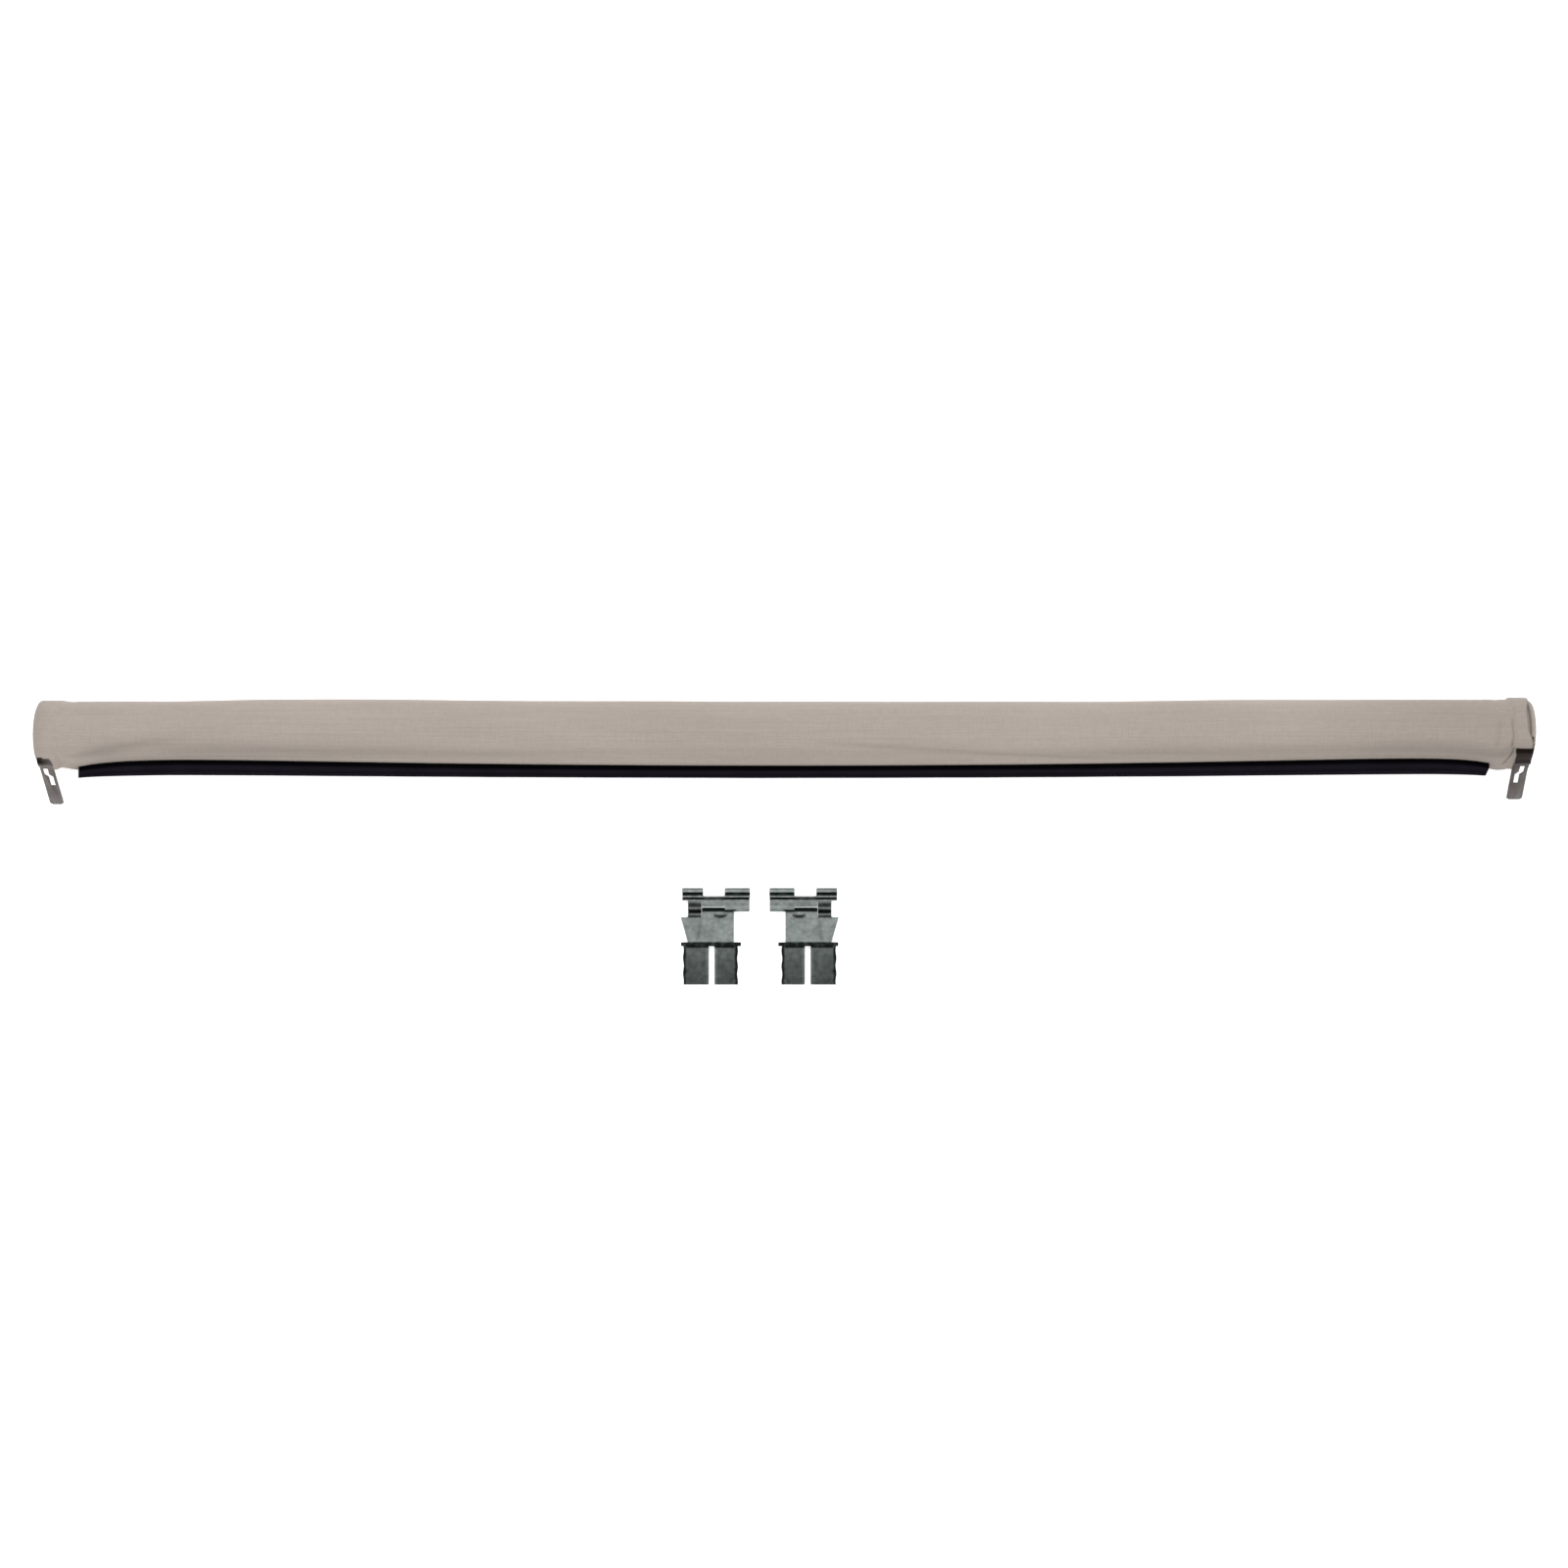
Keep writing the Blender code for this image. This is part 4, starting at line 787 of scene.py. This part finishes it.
# The third number of each point below is how dark it is painted: painted shade on the legs, in the fold, in
# the web's troughs, at the ridge's bend and on the rail under the hooks; less on the plate, the web's crests
# and the hooks' lips.
LEG_LINE = [(LEG_TIP, -1.4, 0.77), (-14.0, 0.59, 0.68), (-5.0, 2.02, 0.57), (FOLD_FRONT, 2.4, 0.6)]
FOLD_LINE = [(FOLD_FRONT, 2.4, 0.6), (-1.9, 3.6, 0.9), (FOLD_BACK, 5.2, 1.0)]
PLATE_LINE = [(EAR_BACK, 5.2, 0.7), (1.5, 5.2, 0.22), (15.0, 5.2, 0.22), (PLATE_END, 5.2, 0.3)]
WEB_LINE = [(PLATE_END, 5.2, 0.5), (18.2, 6.0, 0.95), (19.3, 7.0, 0.35), (20.4, 6.0, 0.35), (21.2, 5.2, 1.0),
            (22.2, 6.4, 1.0), (23.3, 7.9, 0.3), (24.4, 7.2, 0.4), (25.2, 6.6, 0.75), (26.4, 7.8, 0.75),
            (27.6, 8.8, 0.25)]
RIDGE_LINE = [(27.6, 8.8, 0.2), (28.4, 8.8, 0.3), (28.9, 8.8, 0.8), (30.2, 7.5, 0.95), (30.4, 7.4, 0.7)]
RAIL_LINE = [(30.4, 7.4, 0.7), (30.8, 7.4, 0.2), (31.3, 7.4, 0.25)]
HOOK_LINE = [(31.3, 7.4, 0.25), (31.9, 7.4, 1.0), (35.7, 7.4, 1.0), (36.2, 9.1, 0.8), (35.7, 10.8, 0.05),
             (33.6, 10.8, 0.0)]

clip_steel = grained("clip_steel", (0.235, 0.256, 0.243), (0.15, 0.17, 0.158), (500, 500, 500), 0.007, 0.85,
                     (0.34, 0.5), 0.02 * MM, shade_and_soil=(0.006, 0.009, 0.0075), Metallic=1.0)
lip_highlight_steel = grained("lip_highlight_steel", (0.55, 0.57, 0.55), (0.4, 0.42, 0.4), (500, 500, 500), 0.007, 0.85,
                       (0.3, 0.45), 0.02 * MM, Metallic=1.0)  # the raised lip's edge: a brighter copy of clip_steel that paints a highlight
keys = sorted({*EARS, *PLATE, *WEB, *FLANGE, *RAIL, LEFT_HOOK[1], RIGHT_HOOK[0], *LEFT_LEG, *RIGHT_LEG,
               LEFT_LEG[0] + LEG_SIDE, RIGHT_LEG[1] - LEG_SIDE})


def divided(points):
    """A path with more points, no further apart than CLIP_STEP by their first two numbers."""
    fine = [points[0]]
    for last, this in zip(points, points[1:]):
        count = max(1, math.ceil(math.dist(last[:2], this[:2]) / CLIP_STEP))
        fine += [tuple(a + (b - a) * (i + 1) / count for a, b in zip(last, this)) for i in range(count)]
    return fine


clip_columns = [x for x, in divided([(key,) for key in keys])]


def pressed(x, y, z):
    """What is pressed into the sheet: a crescent, a soft crease, a raised lip, and its unevenness. Returns
    the rise in mm and how dark the point is painted: painted shade in the crescent, the crease and the
    recesses by the flange, a painted highlight on the lip, lighter along the legs' inner edges, and random
    mottling."""
    crescent = gauss(y, 18.9 - 0.9 * (1 - ((x - 5.9) / 4.2) ** 2), 0.8) * (1 - ease(abs(x - 5.9), 3.4, 4.8))
    if z > 5.3:
        crescent = 0
    crease = gauss(x + 8.9 - 0.12 * y, 0, 1.3) * ease(y, 1.5, 4) * (1 - ease(y, 14, 17))
    lip = (1 - ease(y, 23.7, 25.0)) * ease(x, -5.4, -4.0) * (1 - ease(x, 7.4, 8.9)) if z > 8 and y > 23 else 0
    rise = -0.7 * crescent - 0.22 * crease + 0.55 * lip + 0.12 * noise.noise(Vector((x / 7, y / 7, 2)))
    shade_and_soil = 1.3 * crescent + 0.3 * crease - 0.6 * lip
    shade_and_soil += (0.24 if y > 24 else 0.16) * noise.noise(Vector((x / 3.2, y / 3.2, 9)))
    shade_and_soil += 0.1 * noise.noise(Vector((x / 1.3, y / 1.3, 4)))
    # lighter along the legs' inner edges
    if y < FOLD_FRONT:
        for inner_edge in (LEFT_LEG[1], RIGHT_LEG[0]):
            shade_and_soil -= 0.3 * gauss(x, inner_edge, 1.3)
    # painted shade along the flange's front edge, right of the right hook
    if z > 8 and y < 22 and x > 8.8:
        shade_and_soil += 0.9 * (1 - ease(x, 14, 18))
    if 20.6 < y < 24.6 and 5.1 < z < 5.3:
        shade_and_soil += 0.95  # painted shade where the plate runs on under the flange
    return rise, shade_and_soil


def clip_sheet(name, side, corner):
    """The stamping's middle surface. side is 1 as drawn and -1 mirrored; corner is the clip's front end."""
    sheet = bmesh.new()
    shade_soil_layer = sheet.verts.layers.float.new("shade_and_soil")

    def point(x, y, z, shade_and_soil):
        rise, more = pressed(x, y, z)
        along, up = (y - LEG_TIP) * 0.98 * MM, (z + rise + CLIP_FOOT) * MM
        made = sheet.verts.new((
            corner.x + side * x * MM,
            corner.y + along * math.cos(CLIP_LEAN) + up * math.sin(CLIP_LEAN),
            up * math.cos(CLIP_LEAN) - along * math.sin(CLIP_LEAN),
        ))
        made[shade_soil_layer] = min(1.0, max(0.0, shade_and_soil + more))
        return made

    def quads(rows, slot=0):
        for low, high in zip(rows, rows[1:]):
            for i in range(len(low) - 1):
                sheet.faces.new((low[i], low[i + 1], high[i + 1], high[i])).material_index = slot

    def panel(ends, line, darker_by=0.0, slot=0):
        columns = [x for x in clip_columns if ends[0] - 0.01 <= x <= ends[1] + 0.01]
        rows = [[point(x, y, z, shade_and_soil + darker_by) for x in columns] for y, z, shade_and_soil in divided(line)]
        quads(rows, slot)

    for outer, inner, gap_side in ((LEFT_LEG[0], LEFT_LEG[0] + LEG_SIDE, LEFT_LEG[1]),
                                   (RIGHT_LEG[1], RIGHT_LEG[1] - LEG_SIDE, RIGHT_LEG[0])):
        panel(sorted((inner, gap_side)), LEG_LINE)
        panel(sorted((inner, gap_side)), FOLD_LINE)
        rows = []
        for y, z, shade_and_soil in divided(LEG_LINE) + [(-1.9, 2.5, 0.9), (FOLD_BACK + 0.3, 2.6, 1.0)]:
            wave = 0.3 * math.sin(y * 0.62 + outer) * (outer / abs(outer))
            # painted shade on the turned-down sides
            turned_down = [(0, 0, shade_and_soil), (0.15, -0.05, 0.85), (0.5, -0.45, 1.0), (1.0, -1.1, 1.0)]
            rows.append([point(inner + share * (outer + wave - inner), y, z + drop, side_shade)
                         for share, drop, side_shade in turned_down])
        quads(rows)
    # painted shade on the ears
    panel(EARS, [(FOLD_BACK, 5.2, 1.0), (0.5, 5.2, 1.0), (EAR_BACK, 5.2, 0.8)])
    panel(PLATE, PLATE_LINE)
    rows = []  # the plate's slanted side, from its straight edge out to the point
    for y, z, shade_and_soil in divided(PLATE_LINE):
        reach = (PLATE_POINT - PLATE[0]) * (y - EAR_BACK) / (PLATE_END - EAR_BACK)
        rows.append([point(PLATE[0] + reach * k / 3, y, z, shade_and_soil) for k in range(4)])
    quads(rows)
    panel((FLANGE[0], PLATE[1]), [(PLATE_END, 5.2, 0.12), (20.6, 5.2, 0.1), (24.5, 5.2, 0.6)])
    panel(WEB, WEB_LINE)
    # the raised lip's edge, in the brighter steel: a painted highlight
    panel((FLANGE[0], RIGHT_HOOK[0]), [(23.5, 8.8, 0.0), (24.0, 8.8, 0.0)], slot=1)
    panel((FLANGE[0], RIGHT_HOOK[0]), [(24.0, 8.8, 0.1), (25.4, 8.8, 0.35), (27.6, 8.8, 0.2)])
    panel((RIGHT_HOOK[0], FLANGE[1]), [(21.0, 8.8, 0.4), (23.6, 8.8, 0.1), (24.4, 8.8, 0.1),
                                       (25.4, 8.8, 0.35), (27.6, 8.8, 0.2)])
    panel((PLATE[0], FLANGE[1]), RIDGE_LINE)
    panel((RAIL[0], PLATE[0]), RIDGE_LINE[1:])
    panel(RAIL, RAIL_LINE)
    panel(LEFT_HOOK, HOOK_LINE, 0.1)
    panel(RIGHT_HOOK, HOOK_LINE)
    bmesh.ops.remove_doubles(sheet, verts=sheet.verts, dist=0.01 * MM)
    bmesh.ops.recalc_face_normals(sheet, faces=sheet.faces)
    mesh = bpy.data.meshes.new(name)
    sheet.to_mesh(mesh)
    sheet.free()
    made = bpy.data.objects.new(name, mesh)
    scene.collection.objects.link(made)
    return made


for side_name, side in (("left", 1), ("right", -1)):
    low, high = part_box(f"{side_name}_clip")
    middle_x = low.x - EARS[0] * MM if side > 0 else high.x + EARS[0] * MM
    clip = clip_sheet(f"{side_name}_stamping", side, Vector((middle_x, low.y, 0)))
    pick(clip)
    bends = clip.modifiers.new("bends", "SUBSURF")
    bends.levels = bends.render_levels = 1
    bends.boundary_smooth = "PRESERVE_CORNERS"
    gauge = clip.modifiers.new("gauge", "SOLIDIFY")
    gauge.thickness, gauge.offset, gauge.use_even_offset = CLIP_GAUGE, 0, False
    cut_edge = clip.modifiers.new("cut_edge", "BEVEL")
    cut_edge.width, cut_edge.segments, cut_edge.angle_limit = 0.12 * MM, 1, math.radians(60)
    for modifier in (bends, gauge, cut_edge):
        bpy.ops.object.modifier_apply(modifier=modifier.name)
    bpy.ops.object.shade_smooth_by_angle(angle=math.radians(40))
    clip.data.materials.append(clip_steel)
    clip.data.materials.append(lip_highlight_steel)
    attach(clip, f"{side_name}_clip")
    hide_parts(f"{side_name}_clip")
